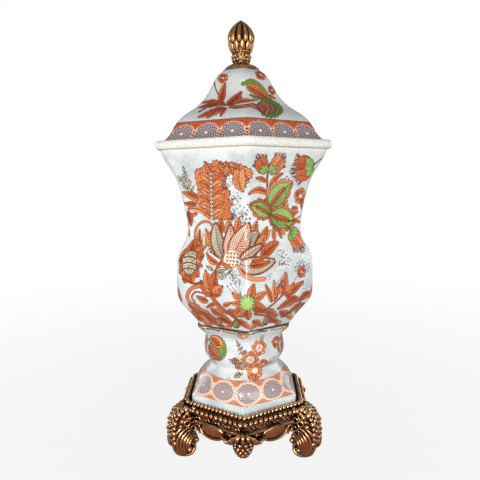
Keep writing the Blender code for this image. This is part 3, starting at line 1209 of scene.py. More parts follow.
    def green_flower(self, front: Brush) -> None:
        """Paint the flower with the green heart, low on the front corner.

        Args:
            front: Brush of the front corners.
        """
        for end in ((-24, 213), (-20, 216), (-14, 218), (-9, 220)):
            front.stroke(bow((-6, 203), end, 1.5), 1, end_width=0.8)
            front.dot(end, 1.3, LILAC, tone=0.2)
        each(front.leaf, ((-3, 190), (2, 173), 11, 0, 0.2, 0.8), ((2, 194), (26, 178), 12.5, 2, 0.2, 0.8),
            ((-5, 192), (-17, 177), 11, 0, 0.1, 0.7), ((-6, 197), (-19, 207), 7.5, 0, 0.5, 1),
            ((-6, 194), (-22, 195), 6, 0, 0.4, 0.9), ((4, 198), (24, 206), 9.5, 0, 0.6, 1),
            ((2, 200), (7, 218), 10, 0, 0.8, 1))
        front.fringe((-1, 196), 4, 11, 14, 0, 25.7, 2.9, 0.7, 1)
        front.dot((-1, 196), 6, GREEN, 1)
        front.stroke(((8, 182), (20, 184), (32, 190), (46, 200)), 2.2, ORANGE, 0.05)
        each(front.leaf, ((32, 192), (21, 216), 6.5, 0, 0.1, 0.7),
            ((34, 192), (33, 220), 6.5, 0, 0.1, 0.7), ((36, 195), (40, 214), 4.5, 0, 0.3),
            ((44, 197), (50, 226), 12.5, 0, 0.2, 0.7), ((47, 197), (77, 212), 10, 0, 0.2, 0.7),
            ((50, 200), (62, 213), 6, 0, 0.4, 0.8))
        each(front.spray, ((41, 213), 6), ((27, 222), 4, 5))

    def skirt(self, front: Brush, side: Brush) -> None:
        """Paint the scroll and the leaves that fill the taper under the belly.

        Args:
            front: Brush of the front corners.
            side: Brush of the side corners.
        """
        rows = (((-76, 188), (-50, 174), 12, 0.1), ((-62, 180), (-36, 167), 11, 0.15),
            ((-52, 170), (-28, 158), 10, 0.1), ((-66, 172), (-46, 160), 10, 0.2),
            ((-46, 184), (-24, 173), 11, 0.2), ((-34, 174), (-14, 163), 10, 0.1),
            ((-24, 186), (-5, 177), 9, 0.25), ((-10, 174), (4, 160), 9, 0.2),
            ((6, 172), (22, 160), 9, 0.15), ((22, 184), (42, 171), 12, 0.15),
            ((26, 172), (46, 160), 10, 0.1), ((42, 178), (64, 165), 11, 0.2),
            ((68, 194), (38, 182), 13, 0.1), ((76, 184), (54, 172), 11, 0.15),
            ((86, 198), (64, 187), 10, 0.2), ((54, 170), (68, 160), 8, 0.2),
            ((-18, 162), (-30, 158), 7, 0.2), ((14, 166), (4, 158), 6, 0.3),
            ((48, 162), (38, 158), 6, 0.3), ((-56, 162), (-44, 157), 7, 0.3))
        for base, tip, width, dark in rows:
            front.leaf(base, tip, width - 1.0, 0, dark, dark + 0.45, 2)
        for start, end in (((-70, 176), (-30, 161)), ((-30, 182), (-6, 168)), ((10, 180), (36, 164)),
                ((74, 190), (46, 168))):
            front.stroke(bow(start, end, 3), 2.4, ORANGE, 0, 1.6)
        front.leaf((-34, 158), (-36, 174), 8, 0, 0.1, 0.5, heart=OLIVE)
        front.leaf((-13, 159), (-13, 175), 9, 0, 0.1, 0.5, heart=GREEN, border=1.6)
        front.leaf((24, 160), (27, 178), 9, 0, 0.1, 0.5, heart=OLIVE)
        front.leaf((4, 158), (10, 168), 6, 0, 0.3)
        each(side.leaf, ((0, 187), (0, 206), 9, 0, 0.1, 0.6), ((2, 168), (-8, 186), 9, 0, 0, 0.5),
            ((4, 162), (9, 178), 8, 0, 0, 0.5))
        side.spray((-10, 205), 6)
        each(front.stroke, (((-50, 178), (-66, 184), (-76, 194), (-71, 205), (-58, 210), (-49, 206),
            (-43, 198), (-37, 189), (-25, 181)), 4.4, ORANGE, 0.3),
            (((-66, 190), (-70, 196), (-64, 203), (-55, 202)), 2.4, ORANGE, 0.6, 1.4))
        each(front.leaf, ((-48, 194), (-64, 199), 8, 2, 0, 0.5), ((-30, 190), (-20, 195), 6, 0, 0, 0.4),
            ((-40, 192), (-52, 184), 6, 0, 0, 0.4))


@dataclass
class Cover(PorcelainShell):
    """The lid: a six-sided bell on a rolled rim, with a lip below."""

    node: str = "lid"
    rows: int = 13
    lining: float = 9.9
    roll: float = 0.85
    roll_steps: int = 12
    rim_reach: float = 109.8
    rim_height: float = 9.6
    rim_base: float = 358.8
    lip_reach: float = 92.0
    lip_depth: float = 8.0
    scallops: int = 3
    scallop_width: float = 29.0
    profile: Profile = Profile(((368.9, 99.6, 0), (371, 96.6, 0), (376, 92.2, 0), (385, 87.4, 0),
        (393, 81, 0.02), (398, 74.4, 0.05), (408, 59, 0.1), (418, 48.6, 0.12), (432, 39.6, 0.15),
        (442, 34, 0.2), (448, 28.6, 0.25), (451.6, 22.4, 0.35)))

    def build(self) -> Object:
        """Raise the bell, then roll the rim and line the inside.

        Returns:
            The shell.
        """
        shell = self.raise_cage(self.profile.walk(self.rows))
        self.refine(shell)
        half = self.rim_height / 2.0
        rows = [self.profile.stations[0][:2]]
        for step in range(self.roll_steps + 1):
            angle = math.pi * (0.5 - step / self.roll_steps)
            rows.append((self.rim_base + half + half * math.sin(angle),
                self.rim_reach - half * (1.0 - math.cos(angle)) * self.roll))
        base, inner = self.rim_base, self.lip_reach - 5.0
        rows += [(base, self.lip_reach), (base - self.lip_depth, self.lip_reach),
            (base - self.lip_depth, inner), (base + 8.0, inner)]
        rows += self.profile.inset((380, 390, 400, 412, 428, 442), self.lining)
        carry_on(shell, rows)
        crown, reach, _ = self.profile.stations[-1]
        carry_on(shell, [(crown, reach), (crown, reach / 2.0)])
        return shell

    def decorate(self) -> Paint:
        """Paint the flowering branch and the scalloped band.

        Returns:
            The shell's paint.
        """
        height = self.points[:, 2]
        paint = Paint(len(height), bias=-0.3)
        climb = self.profile.climb(height)
        front, _ = self.brushes(paint, self.profile, climb)
        self.branch(front)
        self.band(front, climb, self.profile.at(height)[:, 0])
        return paint

    def branch(self, front: Brush) -> None:
        """Paint the branch that lies across the front corner.

        Args:
            front: Brush of the front corners.
        """
        each(front.stroke, (((-56, 40), (-40, 52), (-22, 50), (-4, 46), (10, 51)), 2.8, ORANGE, 0.1),
            (((-24, 56), (-33, 74), (-38, 94)), 1.8))
        each(front.leaf, ((-27, 56), (-21, 87), 9.5, 2, 0.1, 0.7), ((-21, 47), (-1, 72), 11, 0, 0, 0.5),
            ((-8, 50), (-2, 64), 4.4, 0, 0.2))
        front.blossom((-25, 92), 7.5, 5, 40, 0.2, 0.8)
        each(front.leaf, ((-22, 50), (-54, 60), 12, -2, 0, 0.5, 3),
            ((-30, 54), (-58, 50), 9, 0, 0.1, 0.4, 2), ((-24, 46), (-58, 29), 13, 2, 0.1, 0.6, 4),
            ((-34, 38), (-46, 26), 7, 0, 0.2, 0.5), ((-22, 46), (-30, 26), 6, 0, 0, 0.5),
            ((-20, 45), (6, 43), 8, -1, 0.1, 0.6), ((-14, 51), (14, 57), 8, 2, 0, 0.6))
        front.dot((30, 44), 17, GREEN, 0.35, 16)
        front.fringe((30, 44), 14, 20, 16, -125, 16, 4.5, 0.2, 0.5, 5)
        front.dot((27, 44), 13.5, ORANGE, 0.35, 12.5, 60, 1)
        each(front.stroke, (((22, 57), (29, 46), (25, 31)), 3, OLIVE, 0.3),
            (((31, 55), (35, 46), (32, 34)), 2.2, OLIVE, 0.2))
        each(front.leaf, ((6, 52), (22, 34), 10, 0, 0, 0.5), ((2, 50), (14, 40), 7, 0, 0.1, 0.5))
        for number in range(11):
            share = number / 10.0
            x = 1.0 + 31.0 * share
            y = 79.0 + 7.0 * math.sin(math.pi * share**0.8) - 17.0 * share**2
            front.leaf((x, y), (x + 1.5, y + 5.5), 4.4, 0, 0.2, 0.6, ink=GREEN, veins=0)
        front.stroke(((0, 81), (12, 85), (24, 79), (33, 64)), 5, GREEN, 0.5, 4)
        front.leaf((2, 80), (34, 61), 14, 1.5, 0.9, 0.4, veins=1)
        front.stroke(((8, 66), (18, 63), (30, 62)), 3.4, GREEN, 0.3, 2.2)
        front.dot((14, 60), 4, OLIVE, 0.3, 3)
        each(front.blossom, ((24, 97), 8.5, 5, 15, 0, 0.6), ((38, 77), 6.5, 5, 60, 0, 0.6))
        front.leaf((33, 70), (42, 63), 5, 0, 0.1)

    def band(self, front: Brush, climb: Array, reach: Array) -> None:
        """Paint the row of half medallions under their scallops.

        Args:
            front: Brush of the front corners.
            climb: Distance of each point up the face.
            reach: Side of the hexagon at each point.
        """
        paint = front.paint
        every = np.arange(len(climb))
        inside = ((front.along / reach * self.scallops) % 1.0 - 0.5) * self.scallop_width
        gap = self.scallop_width / 2.0 - np.abs(inside)
        arch = np.hypot(inside, climb - 2.0) - 18.3
        for ink, distance, tone in ((LINE, climb - 24.0, None), (ORANGE, climb - 23.2, 0.4),
                (PINK, arch, 1), (MEDALLION, arch + 1.7, 0.4),
                (PINK, np.maximum(gap - 1.6 - 0.12 * climb, climb - 13.5), 0.8),
                *((LINE, np.hypot(gap, climb - level) - 1.3, None) for level in (2, 6, 10)),
                *((LINE, np.hypot(gap - 2.4, climb - level) - 0.9, None) for level in (4, 8))):
            paint.lay(ink, every, distance, tone)
        paint.rosette[:, 0] = inside
        paint.rosette[:, 1] = climb - 8.5


@dataclass
class Stand(PorcelainShell):
    """The pedestal: a six-sided plinth, a round dome and a bulb under a hexagonal lip."""

    node: str = "pedestal"
    turn: float = 0.0
    spacing: int = 8
    medallions: int = 12
    medallion_width: float = 33.5
    medallion_level: float = 82.2
    joint_line: float = 154.8
    lower: tuple[Station, ...] = ((60.3, 71.2, 0), (63, 71.2, 0), (66.5, 71.2, 0), (68.6, 71, 0),
        (69.8, 70, 0.04), (72, 67.8, 0.3), (77, 62.6, 0.72), (82, 60.2, 0.9), (87, 57, 0.95),
        (91.5, 52.4, 0.98), (95.5, 47.4, 1), (99, 44, 1), (101.6, 42.2, 1), (103.8, 41.8, 1))
    upper: tuple[Station, ...] = ((155.7, 61.8, 0), (153.6, 61.9, 0), (151.4, 61, 0), (148.4, 57.6, 0.05),
        (145, 53.4, 0.25), (141, 50.4, 0.5), (136, 49.6, 0.7), (129, 50.4, 0.8), (122, 51.2, 0.85),
        (115, 50, 0.92), (109.5, 46.4, 0.97), (106, 43, 1), (103.8, 41.8, 1))

    def build(self) -> Object:
        """Raise the dome and lower the bulb until they meet at the waist, then line them.

        Returns:
            The shell.
        """
        dome = self.raise_cage(self.lower)
        shell = join_pieces([dome, self.raise_cage(self.upper)], "stand")
        waist = self.lower[-1][0] * MM
        with editing(shell, lambda co: abs(co.z - waist) < 0.05 * MM):
            bpy.ops.mesh.remove_doubles(threshold=0.3 * MM)
        self.refine(shell)
        foot, reach, _ = self.lower[0]
        carry_on(shell, [(foot, reach), (foot, reach - self.wall), (76, 56), (88, 49), (98, 37.5),
            (104, 35), (118, 43), (140, 42), (149, 40)])
        head, reach, _ = self.upper[0]
        carry_on(shell, [(head, reach), (head, reach / 2.0)])
        return shell

    def decorate(self) -> Paint:
        """Paint a bud, a bunch of blossom, the ring of medallions and the gilding.

        Returns:
            The shell's paint.
        """
        height = self.points[:, 2]
        paint = Paint(len(height))
        outline = Profile(tuple(sorted(self.lower + self.upper[:-1])))
        front, side = self.brushes(paint, outline, height)
        self.flowers(front, side)
        self.ring(paint)
        for brush in (front, side):
            self.gilding(brush)
        paint.lay(LINE, np.arange(len(height)), self.joint_line - height)
        return paint

    def flowers(self, front: Brush, side: Brush) -> None:
        """Paint the bud on the left face and the blossom on the right one.

        Args:
            front: Brush of the front corners.
            side: Brush of the side corners.
        """
        front.dot((-35, 129), 13.5, GREEN, 0.35, 15)
        front.fringe((-35, 129), 11.5, 16.6, 14, -85, 15, 3.8, 0.1, 0.6, 6)
        each(front.dot, ((-34, 136.5), 10, ORANGE, 0.95, 7, -25, 0.42),
            ((-35, 136), 6.5, ORANGE, 0.7, 3.6, -25, 1), ((-38, 122), 11, ORANGE, 0.6, 8, -30, 1))
        front.stroke(((-47, 132), (-36, 129), (-27, 120)), 2, OLIVE, 0.3)
        front.blossom((-49, 132), 4.5, 5, 0, 0.2, 0.9, CREAM)
        front.twig((4, 124), (-6, 140), 4, 5, ORANGE, 1, 2.2)
        front.spray((-2, 131), 5, 6)
        front.blossom((13, 103), 11, 7, 70, 0.8, 1)
        front.dot((13, 103), 4.4, PINK, 0.9)
        each(front.blossom, ((24, 111), 7, 5, 30, 0.1, 0.8), ((-3, 110), 7, 5, 0, 0.1, 0.7),
            ((-9, 117), 5, 5, 20, 0.1, 0.6), ((8, 119), 11, 8, 40),
            ((8, 119), 6.4, 7, 20, 0.8, 1, PINK, LILAC), ((19, 132), 10, 7, 10, 0.4, 1),
            ((19, 132), 6, 6, 30, 0.9, 1, PINK, LILAC))
        front.leaf((22, 141), (27, 147), 4, ink=OLIVE)
        each(front.twig, ((4, 110), (-14, 118), 4, 5, OLIVE, 1, 2.4), ((0, 104), (-8, 98), 2, 4),
            ((26, 110), (38, 106), 2, 4, ORANGE, 1, 2.2))
        side.blossom((-6, 134), 7.5, 5, 20, 0, 0.5)
        side.leaf((-4, 128), (-1, 119), 5)
        side.spray((-14, 112), 6, 8, None, OLIVE)
        side.twig((10, 108), (4, 122), 3, 5)

    def ring(self, paint: Paint) -> None:
        """Paint the medallions round the dome.

        Args:
            paint: The shell's layers.
        """
        every = np.flatnonzero((self.points[:, 2] > 66.0) & (self.points[:, 2] < 100.0))
        x, y, height = self.points[every].T
        width, middle = self.medallion_width, self.medallion_level
        turn = (np.arctan2(y, x) - FRONT - math.radians(6)) / (math.tau / self.medallions)
        across = ((turn + 0.5) % 1.0 - 0.5) * width
        gap = width / 2.0 - np.abs(across)
        oval = (np.hypot(across / 16.6, (height - middle) / 10.2) - 1.0) * 10.2
        for ink, distance, tone in ((PINK, np.abs(height - 82.6) - 11.0, 0.05), (PINK, oval, 0.95),
                (MEDALLION, oval + 1.5, 0.9), *((PINK, np.hypot(gap, height - middle - lift) - size,
                0.85) for lift, size in ((-4.6, 1.4), (0, 1.9), (4.6, 1.4))),
                (LINE, np.hypot(gap, height - middle) - 0.8, None)):
            paint.lay(ink, every, distance, tone)
        paint.rosette[every, 0] = across
        paint.rosette[every, 1] = (height - middle) * 1.4

    def gilding(self, brush: Brush) -> None:
        """Touch the lip with worn gold and green.

        Args:
            brush: Brush of the corners to be gilt.
        """
        brush.leaf((0, 156), (1, 145), 15, 0, 0.3, 0.9, ink=GILT, veins=0, blunt=0.6)
        brush.leaf((1, 154), (2, 148), 6, light=1, ink=PINK, veins=0, blunt=0.6)
        each(brush.stroke, (bow((-26, 153.6), (-9, 153.2), -0.5), 1.4, GILT, 0.6),
            (bow((14, 152.8), (28, 153.4), 0.6), 1.6, GREEN, 0.1),
            (bow((-30, 153.4), (-36, 153.4), 0.4), 1.6, GREEN, 0.1),
            (bow((5, 151.8), (14, 152.6), 0.4), 1.2, GILT, 0.5))


# Finishes


def srgb(red: int, green: int, blue: int) -> Colour:
    """Turn a colour on the 0 to 255 scale into linear light.

    Args:
        red: Its red part.
        green: Its green part.
        blue: Its blue part.

    Returns:
        The same colour in linear light.
    """
    def linear(value: int) -> float:
        """Turn one channel into linear light."""
        share = value / 255.0
        return share / 12.92 if share <= 0.04045 else ((share + 0.055) / 1.055) ** 2.4
    return linear(red), linear(green), linear(blue)


class Sockets(Enum):
    """Kinds of node group sockets."""

    NUMBER = "NodeSocketFloat"
    COLOUR = "NodeSocketColor"
    VECTOR = "NodeSocketVector"


NUMBER, COLOUR, VECTOR = Sockets


class Recipe:
    """Adds, feeds and links the nodes of one tree."""

    def __init__(self, tree: Group) -> None:
        """Take up a node tree."""
        self.tree = tree

    def feed(self, node: bpy.types.Node, inputs: dict) -> None:
        """Give a node's inputs values or output sockets, by input name or number.

        Args:
            node: The node.
            inputs: What each input is given.
        """
        for name, value in inputs.items():
            socket = node.inputs[name]
            if isinstance(value, Socket):
                self.tree.links.new(value, socket)
            else:
                colour = socket.type == "RGBA" and len(value) == 3
                socket.default_value = (*value, 1) if colour else value

    def node(self, kind: str, inputs: dict | None = None, **settings: object) -> bpy.types.Node:
        """Add a node, set its properties and feed its inputs.

        Args:
            kind: Blender's name of the node, without the word ShaderNode.
            inputs: Values or output sockets, by input name or number.
            settings: The node's properties.

        Returns:
            The node.
        """
        node = self.tree.nodes.new(f"ShaderNode{kind}")
        for name, value in settings.items():
            setattr(node, name, value)
        self.feed(node, inputs or {})
        return node

    def math(self, operation: str, *values: object) -> Socket:
        """Add a Math node and give its result."""
        return self.node("Math", dict(enumerate(values)), operation=operation).outputs[0]

    def product(self, first: object, second: object) -> Socket:
        """Multiply two values and give the result."""
        return self.math("MULTIPLY", first, second)

    def ramp(self, value: object, low: float, high: float, start: float = 0.0,
            end: float = 1.0) -> Socket:
        """Map a value smoothly from one range to another and give the result."""
        given = {"Value": value, "From Min": low, "From Max": high, "To Min": start, "To Max": end}
        return self.node("MapRange", given, interpolation_type="SMOOTHSTEP").outputs[0]

    def mix(self, factor: object, ground: object, over: object, blend: str = "MIX") -> Socket:
        """Mix two colours and give the result."""
        return self.node("Mix", {0: factor, 6: ground, 7: over}, data_type="RGBA",
            blend_type=blend).outputs[2]

    def noise(self, vector: object, scale: float, detail: float = 3.0, roughness: float = 0.55) -> Socket:
        """Add a noise and give its value."""
        given = {"Vector": vector, "Scale": scale, "Detail": detail, "Roughness": roughness}
        return self.node("TexNoise", given).outputs["Fac"]

    def parts(self, vector: Socket) -> Sequence[Socket]:
        """Give a vector's three parts."""
        return self.node("SeparateXYZ", {0: vector}).outputs

    def length(self, vector: Socket) -> Socket:
        """Give a vector's length."""
        return self.node("VectorMath", {0: vector}, operation="LENGTH").outputs[1]

    def painted(self, name: str, output: str = "Vector") -> Socket:
        """Give one of the painting's point attributes."""
        return self.node("Attribute", attribute_name=name).outputs[output]

    def bump(self, strength: float, distance: float, height: Socket) -> Socket:
        """Add a bump and give the normal."""
        given = {"Strength": strength, "Distance": distance, "Height": height}
        return self.node("Bump", given).outputs[0]


def new_material(name: str) -> tuple[Material, Recipe, bpy.types.Node, Socket]:
    """Start a material.

    Args:
        name: Its name.

    Returns:
        The material, a recipe for it, its shader and the Object coordinates.
    """
    material = bpy.data.materials.new(name)
    material.use_nodes = True
    recipe = Recipe(material.node_tree)
    place = recipe.node("TexCoord").outputs["Object"]
    return material, recipe, material.node_tree.nodes["Principled BSDF"], place


def new_group(name: str, inputs: dict[str, tuple[Sockets, object]],
        outputs: dict[str, Sockets]) -> tuple[Recipe, dict[str, Socket], bpy.types.Node]:
    """Start a shader node group with named sockets.

    Args:
        name: Name of the group.
        inputs: Kind and first value of each input.
        outputs: Kind of each output.

    Returns:
        A recipe for the group, its input sockets by name and its output node.
    """
    group = bpy.data.node_groups.new(name, "ShaderNodeTree")
    for title, (kind, value) in inputs.items():
        socket = group.interface.new_socket(title, in_out="INPUT", socket_type=kind.value)
        if value is not None:
            socket.default_value = (*value, 1) if kind is COLOUR else value
    for title, kind in outputs.items():
        group.interface.new_socket(title, in_out="OUTPUT", socket_type=kind.value)
    entry = group.nodes.new("NodeGroupInput")
    given = {socket.name: socket for socket in entry.outputs}
    return Recipe(group), given, group.nodes.new("NodeGroupOutput")


def ink_group() -> Group:
    """Make the group that lays one ink over a ground with a brushed edge and finds its rim.

    Returns:
        The group.
    """
    r, given, leave = new_group("Brushed ink", {"Ground": (COLOUR, (0.8, 0.8, 0.8)),
        "Dark": (COLOUR, (0.2, 0.1, 0)), "Light": (COLOUR, (0.8, 0.4, 0.1)), "Tone": (NUMBER, 0.5),
        "Distance": (NUMBER, 1), "Edge": (NUMBER, 0.25), "Cover": (NUMBER, 1),
        "Rim width": (NUMBER, 0.33)}, {"Colour": COLOUR, "Mask": NUMBER, "Rim": NUMBER})
    away = r.math("DIVIDE", given["Distance"], given["Edge"])
    mask = r.product(r.ramp(away, 1, -1), given["Cover"])
    ink = r.mix(given["Tone"], given["Dark"], given["Light"])
    share = r.math("DIVIDE", r.math("ABSOLUTE", given["Distance"]), given["Rim width"])
    r.feed(leave, {"Colour": r.mix(mask, given["Ground"], ink), "Mask": mask,
        "Rim": r.ramp(share, 1.35, 0.75)})
    return r.tree


def vein_group() -> Group:
    """Make the group that draws the midrib and side veins of the leaves.

    Returns:
        The group.
    """
    r, given, leave = new_group("Leaf veins", {"Grain": (VECTOR, None), "Spacing": (NUMBER, 3.1),
        "Slope": (NUMBER, 0.9), "Wander": (NUMBER, 0)}, {"Mask": NUMBER})
    along, across, strength = r.parts(given["Grain"])
    beside = r.math("ABSOLUTE", across)
    slanted = r.math("SUBTRACT", r.math("ADD", along, given["Wander"]), r.product(beside, given["Slope"]))
    wave = r.math("PINGPONG", slanted, r.product(given["Spacing"], 0.5))
    lines = r.product(r.ramp(wave, 0.85, 0.3), r.ramp(strength, 0.5, 0.95))
    rib = r.product(r.ramp(beside, 0.8, 0.35), r.ramp(strength, 0.15, 0.4))
    r.feed(leave, {"Mask": r.math("MAXIMUM", lines, rib)})
    return r.tree


def crackle_group() -> Group:
    """Make the group that draws the fine net of cracks in an old glaze.

    Returns:
        The group.
    """
    r, given, leave = new_group("Glaze crackle", {"Place": (VECTOR, None),
        "Scale": (NUMBER, 230), "Width": (NUMBER, 0.06)}, {"Mask": NUMBER})
    bent = r.node("TexNoise", {"Vector": given["Place"], "Scale": 90.0, "Detail": 2.0})
    shift = r.node("VectorMath", {0: bent.outputs["Color"], 1: (0.004, 0.004, 0.004)},
        operation="MULTIPLY")
    place = r.node("VectorMath", {0: given["Place"], 1: shift.outputs[0]})
    cells = r.node("TexVoronoi", {"Vector": place.outputs[0], "Scale": given["Scale"]},
        feature="DISTANCE_TO_EDGE")
    away = r.math("DIVIDE", cells.outputs["Distance"], given["Width"])
    r.feed(leave, {"Mask": r.ramp(away, 1, 0)})
    return r.tree


def recess_group() -> Group:
    """Make the group that finds recesses, where a finish is darkened as patina and as painted shade.

    Returns:
        The group.
    """
    r, given, leave = new_group("Recesses", {"Place": (VECTOR, None),
        "Depth": (NUMBER, 0.006), "Spread": (NUMBER, 0.5)}, {"Recess": NUMBER})
    sky = r.node("AmbientOcclusion", {"Distance": given["Depth"]}, samples=8)
    patch = r.math("SUBTRACT", r.noise(given["Place"], 120, 4), 0.5)
    shut = r.math("SUBTRACT", 1, sky.outputs["AO"])
    mixed = r.math("MULTIPLY_ADD", patch, given["Spread"], shut)
    r.feed(leave, {"Recess": r.ramp(mixed, 0.14, 0.46)})
    return r.tree


@dataclass(frozen=True)
class PaintedGlaze:
    """Crackled white porcelain with painting under the glaze."""

    white: Colour = srgb(228, 233, 232)
    shade: Colour = srgb(200, 207, 207)
    cream: Colour = srgb(232, 231, 224)
    speck: Colour = srgb(150, 152, 148)
    # Painted shade colour laid on the lid's upward slopes.
    lid_shade: Colour = srgb(196, 200, 199)
    crack: Colour = srgb(160, 158, 148)
    outline: Colour = srgb(84, 34, 16)
    vein: Colour = srgb(150, 84, 58)
    roughness: float = 0.22
    gloss: float = 1.6

    def inks(self) -> dict[Ink, tuple[Colour, Colour, float, float]]:
        """Give each ink's dark and light colour, how well it covers, and its rim's strength.

        Returns:
            The four settings of each ink.
        """
        return {MEDALLION: (srgb(118, 100, 102), srgb(172, 154, 152), 1, 0),
            PINK: (srgb(206, 124, 84), srgb(247, 214, 192), 1, 0.3),
            CREAM: (srgb(184, 156, 124), srgb(244, 224, 202), 0.95, 0.8),
            OLIVE: (srgb(128, 122, 92), srgb(222, 216, 192), 0.95, 0.85),
            ORANGE: (srgb(168, 66, 26), srgb(240, 150, 88), 1, 0.85),
            RUST: (srgb(156, 56, 22), srgb(232, 132, 74), 1, 0.85),
            CORAL: (srgb(178, 76, 34), srgb(246, 168, 114), 1, 0.85),
            GREEN: (srgb(78, 110, 40), srgb(166, 202, 112), 1, 0.9),
            LILAC: (srgb(116, 84, 116), srgb(178, 152, 178), 0.9, 0),
            GILT: (srgb(120, 78, 30), srgb(228, 180, 108), 1, 0.8),
            LINE: (srgb(84, 34, 16), srgb(92, 38, 20), 0.9, 0)}

    def make(self) -> Material:
        """Build the material.

        Returns:
            The material.
        """
        material, r, shader, place = new_material("painted porcelain")
        inks = ink_group()
        crack = r.node("Group", {"Place": place}, node_tree=crackle_group()).outputs["Mask"]
        wobble = r.product(r.math("SUBTRACT", r.noise(place, 520, 2), 0.5), 0.8)
        tone = self.brushed_tone(r, place)
        colour = self.ground(r, place, crack)
        rim: object = 0.0
        for ink, (dark, light, cover, strength) in self.inks().items():
            distance = r.math("ADD", r.painted(ink.value, "Fac"), wobble)
            laid = r.node("Group", node_tree=inks)
            r.feed(laid, {"Ground": colour, "Dark": dark, "Light": light, "Tone": tone,
                "Distance": distance, "Cover": cover})
            colour = laid.outputs["Colour"]
            if ink is MEDALLION:
                colour = self.rosette(r, colour, laid.outputs["Mask"])
            if strength:
                rim = r.math("MAXIMUM", rim, r.product(laid.outputs["Rim"], strength))
        vein = r.node("Group", {"Grain": r.painted("grain"), "Wander": r.product(wobble, 2)},
            node_tree=vein_group()).outputs["Mask"]
        colour = r.mix(r.product(vein, 0.85), colour, self.vein, "MULTIPLY")
        relief = r.math("MULTIPLY_ADD", crack, -0.35, r.noise(place, 60, 2))
        r.feed(shader, {"Base Color": r.mix(rim, colour, self.outline), "Roughness": self.roughness,
            "IOR": self.gloss, "Coat Weight": 0.24, "Coat Roughness": 0.08,
            "Normal": r.bump(0.12, 0.0006, relief)})
        return material

    def brushed_tone(self, r: Recipe, place: Socket) -> Socket:
        """Give the strokes' lightness with the streaks of a brush.

        Args:
            r: The material's recipe.
            place: Object coordinates.

        Returns:
            The lightness.
        """
        streak = r.product(r.math("SUBTRACT", r.noise(place, 520, 4, 0.75), 0.5), 2.2)
        _, across, strength = r.parts(r.painted("grain"))
        half = r.product(r.ramp(across, -0.5, 0.5, -0.17, 0.17), r.ramp(strength, 0.1, 0.4))
        tone = r.math("ADD", r.math("ADD", r.painted("tone", "Fac"), half), streak)
        return r.node("Clamp", {"Value": tone}).outputs[0]

    def ground(self, r: Recipe, place: Socket, crack: Socket) -> Socket:
        """Give the bare porcelain's colour, with painted shade on the lid's upward slopes.

        Args:
            r: The material's recipe.
            place: Object coordinates.
            crack: Mask of the crackle.

        Returns:
            The colour.
        """
        height = r.parts(place)[2]
        colour = r.mix(r.ramp(r.noise(place, 38, 4), 0.35, 0.7), self.white, self.shade)
        near = r.math("ABSOLUTE", r.math("SUBTRACT", height, 0.3625))
        colour = r.mix(r.ramp(near, 0.013, 0.004), colour, self.cream)
        speck = r.ramp(r.noise(place, 1100, 2), 0.52, 0.7, 0, 0.3)
        colour = r.mix(speck, colour, self.speck)
        # Painted shade: the lid's upward-facing slopes are greyed towards lid_shade, as if lit less.
        up = r.parts(r.node("NewGeometry").outputs["Normal"])[2]
        lid_shade_mask = r.product(r.ramp(height, 0.368, 0.378), r.ramp(up, 0.1, 0.7))
        colour = r.mix(r.product(lid_shade_mask, 0.75), colour, self.lid_shade)
        faint = r.product(crack, r.ramp(r.noise(place, 22, 2), 0.3, 0.7, 0.2, 0.7))
        return r.mix(faint, colour, self.crack)

    def rosette(self, r: Recipe, ground: Socket, mask: Socket) -> Socket:
        """Fill the medallions with a rosette of fine spokes round a white eye.

        Args:
            r: The material's recipe.
            ground: The medallion's plain colour.
            mask: Where the medallions are.

        Returns:
            The colour with the rosette.
        """
        x, y, _ = r.parts(r.painted("rosette"))
        radius = r.length(r.node("CombineXYZ", {0: x, 1: y}).outputs[0])
        spoke = r.math("SINE", r.product(r.math("ARCTAN2", y, x), 14))
        weave = r.product(spoke, r.math("SINE", r.product(radius, 1.75)))
        pale = r.product(r.ramp(weave, 0.1, 0.65, 0, 0.62), mask)
        dark = r.product(r.ramp(weave, -0.1, -0.7, 0, 0.7), mask)
        colour = r.mix(dark, r.mix(pale, ground, srgb(232, 224, 222)), srgb(70, 50, 52))
        return r.mix(r.product(r.ramp(radius, 1.7, 1.1), mask), colour, srgb(252, 250, 246))


@dataclass(frozen=True)
class GiltBronze:
    """Cast bronze with worn gilding and painted top light, dark and reddish in its recesses, where the
    dark is patina and painted shade.
    """

    name: str = "gilt bronze of the base"
    bright: Colour = srgb(250, 202, 144)
    middle: Colour = srgb(178, 106, 62)
    red: Colour = srgb(138, 64, 40)
    dark: Colour = srgb(30, 13, 7)
    roughness: float = 0.2
    depth: float = 0.009
    # Strength of the painted top light on upward faces.
    painted_top_light: float = 1.0
    lacquer: float = 0.5

    def make(self, recesses: Group) -> Material:
        """Build the material with the group that finds recesses.

        Args:
            recesses: The group.

        Returns:
            The material.
        """
        material, r, shader, place = new_material(self.name)
        found = r.node("Group", node_tree=recesses)
        r.feed(found, {"Place": place, "Depth": self.depth})
        patina_and_shade = found.outputs["Recess"]
        up = r.parts(r.node("NewGeometry").outputs["Normal"])[2]
        # Lighter gilding in random worn patches, plus painted top light on upward-facing surfaces.
        wear_and_top_light = r.math("ADD", r.ramp(r.noise(place, 46, 3), 0.3, 0.7, -0.25, 0.35),
            r.ramp(up, -0.35, 0.7, 0, self.painted_top_light))
        colour = r.mix(r.ramp(wear_and_top_light, 0.3, 1.45), self.middle, self.bright)
        rust = r.ramp(r.noise(place, 70, 4, 0.65), 0.52, 0.66, 0, 0.7)
        colour = r.mix(r.product(rust, r.ramp(up, 0.6, 0)), colour, self.red)
        # Patina and painted shade: recesses darken towards dark and grow rougher.
        r.feed(shader, {"Base Color": r.mix(patina_and_shade, colour, self.dark), "Metallic": 0.85,
            "Coat Weight": self.lacquer, "Coat Roughness": 0.16,
            "Roughness": r.ramp(patina_and_shade, 0, 1, self.roughness, 0.68),
            "Normal": r.bump(0.35, 0.0003, r.noise(place, 900, 3))})
        return material


# Bronze


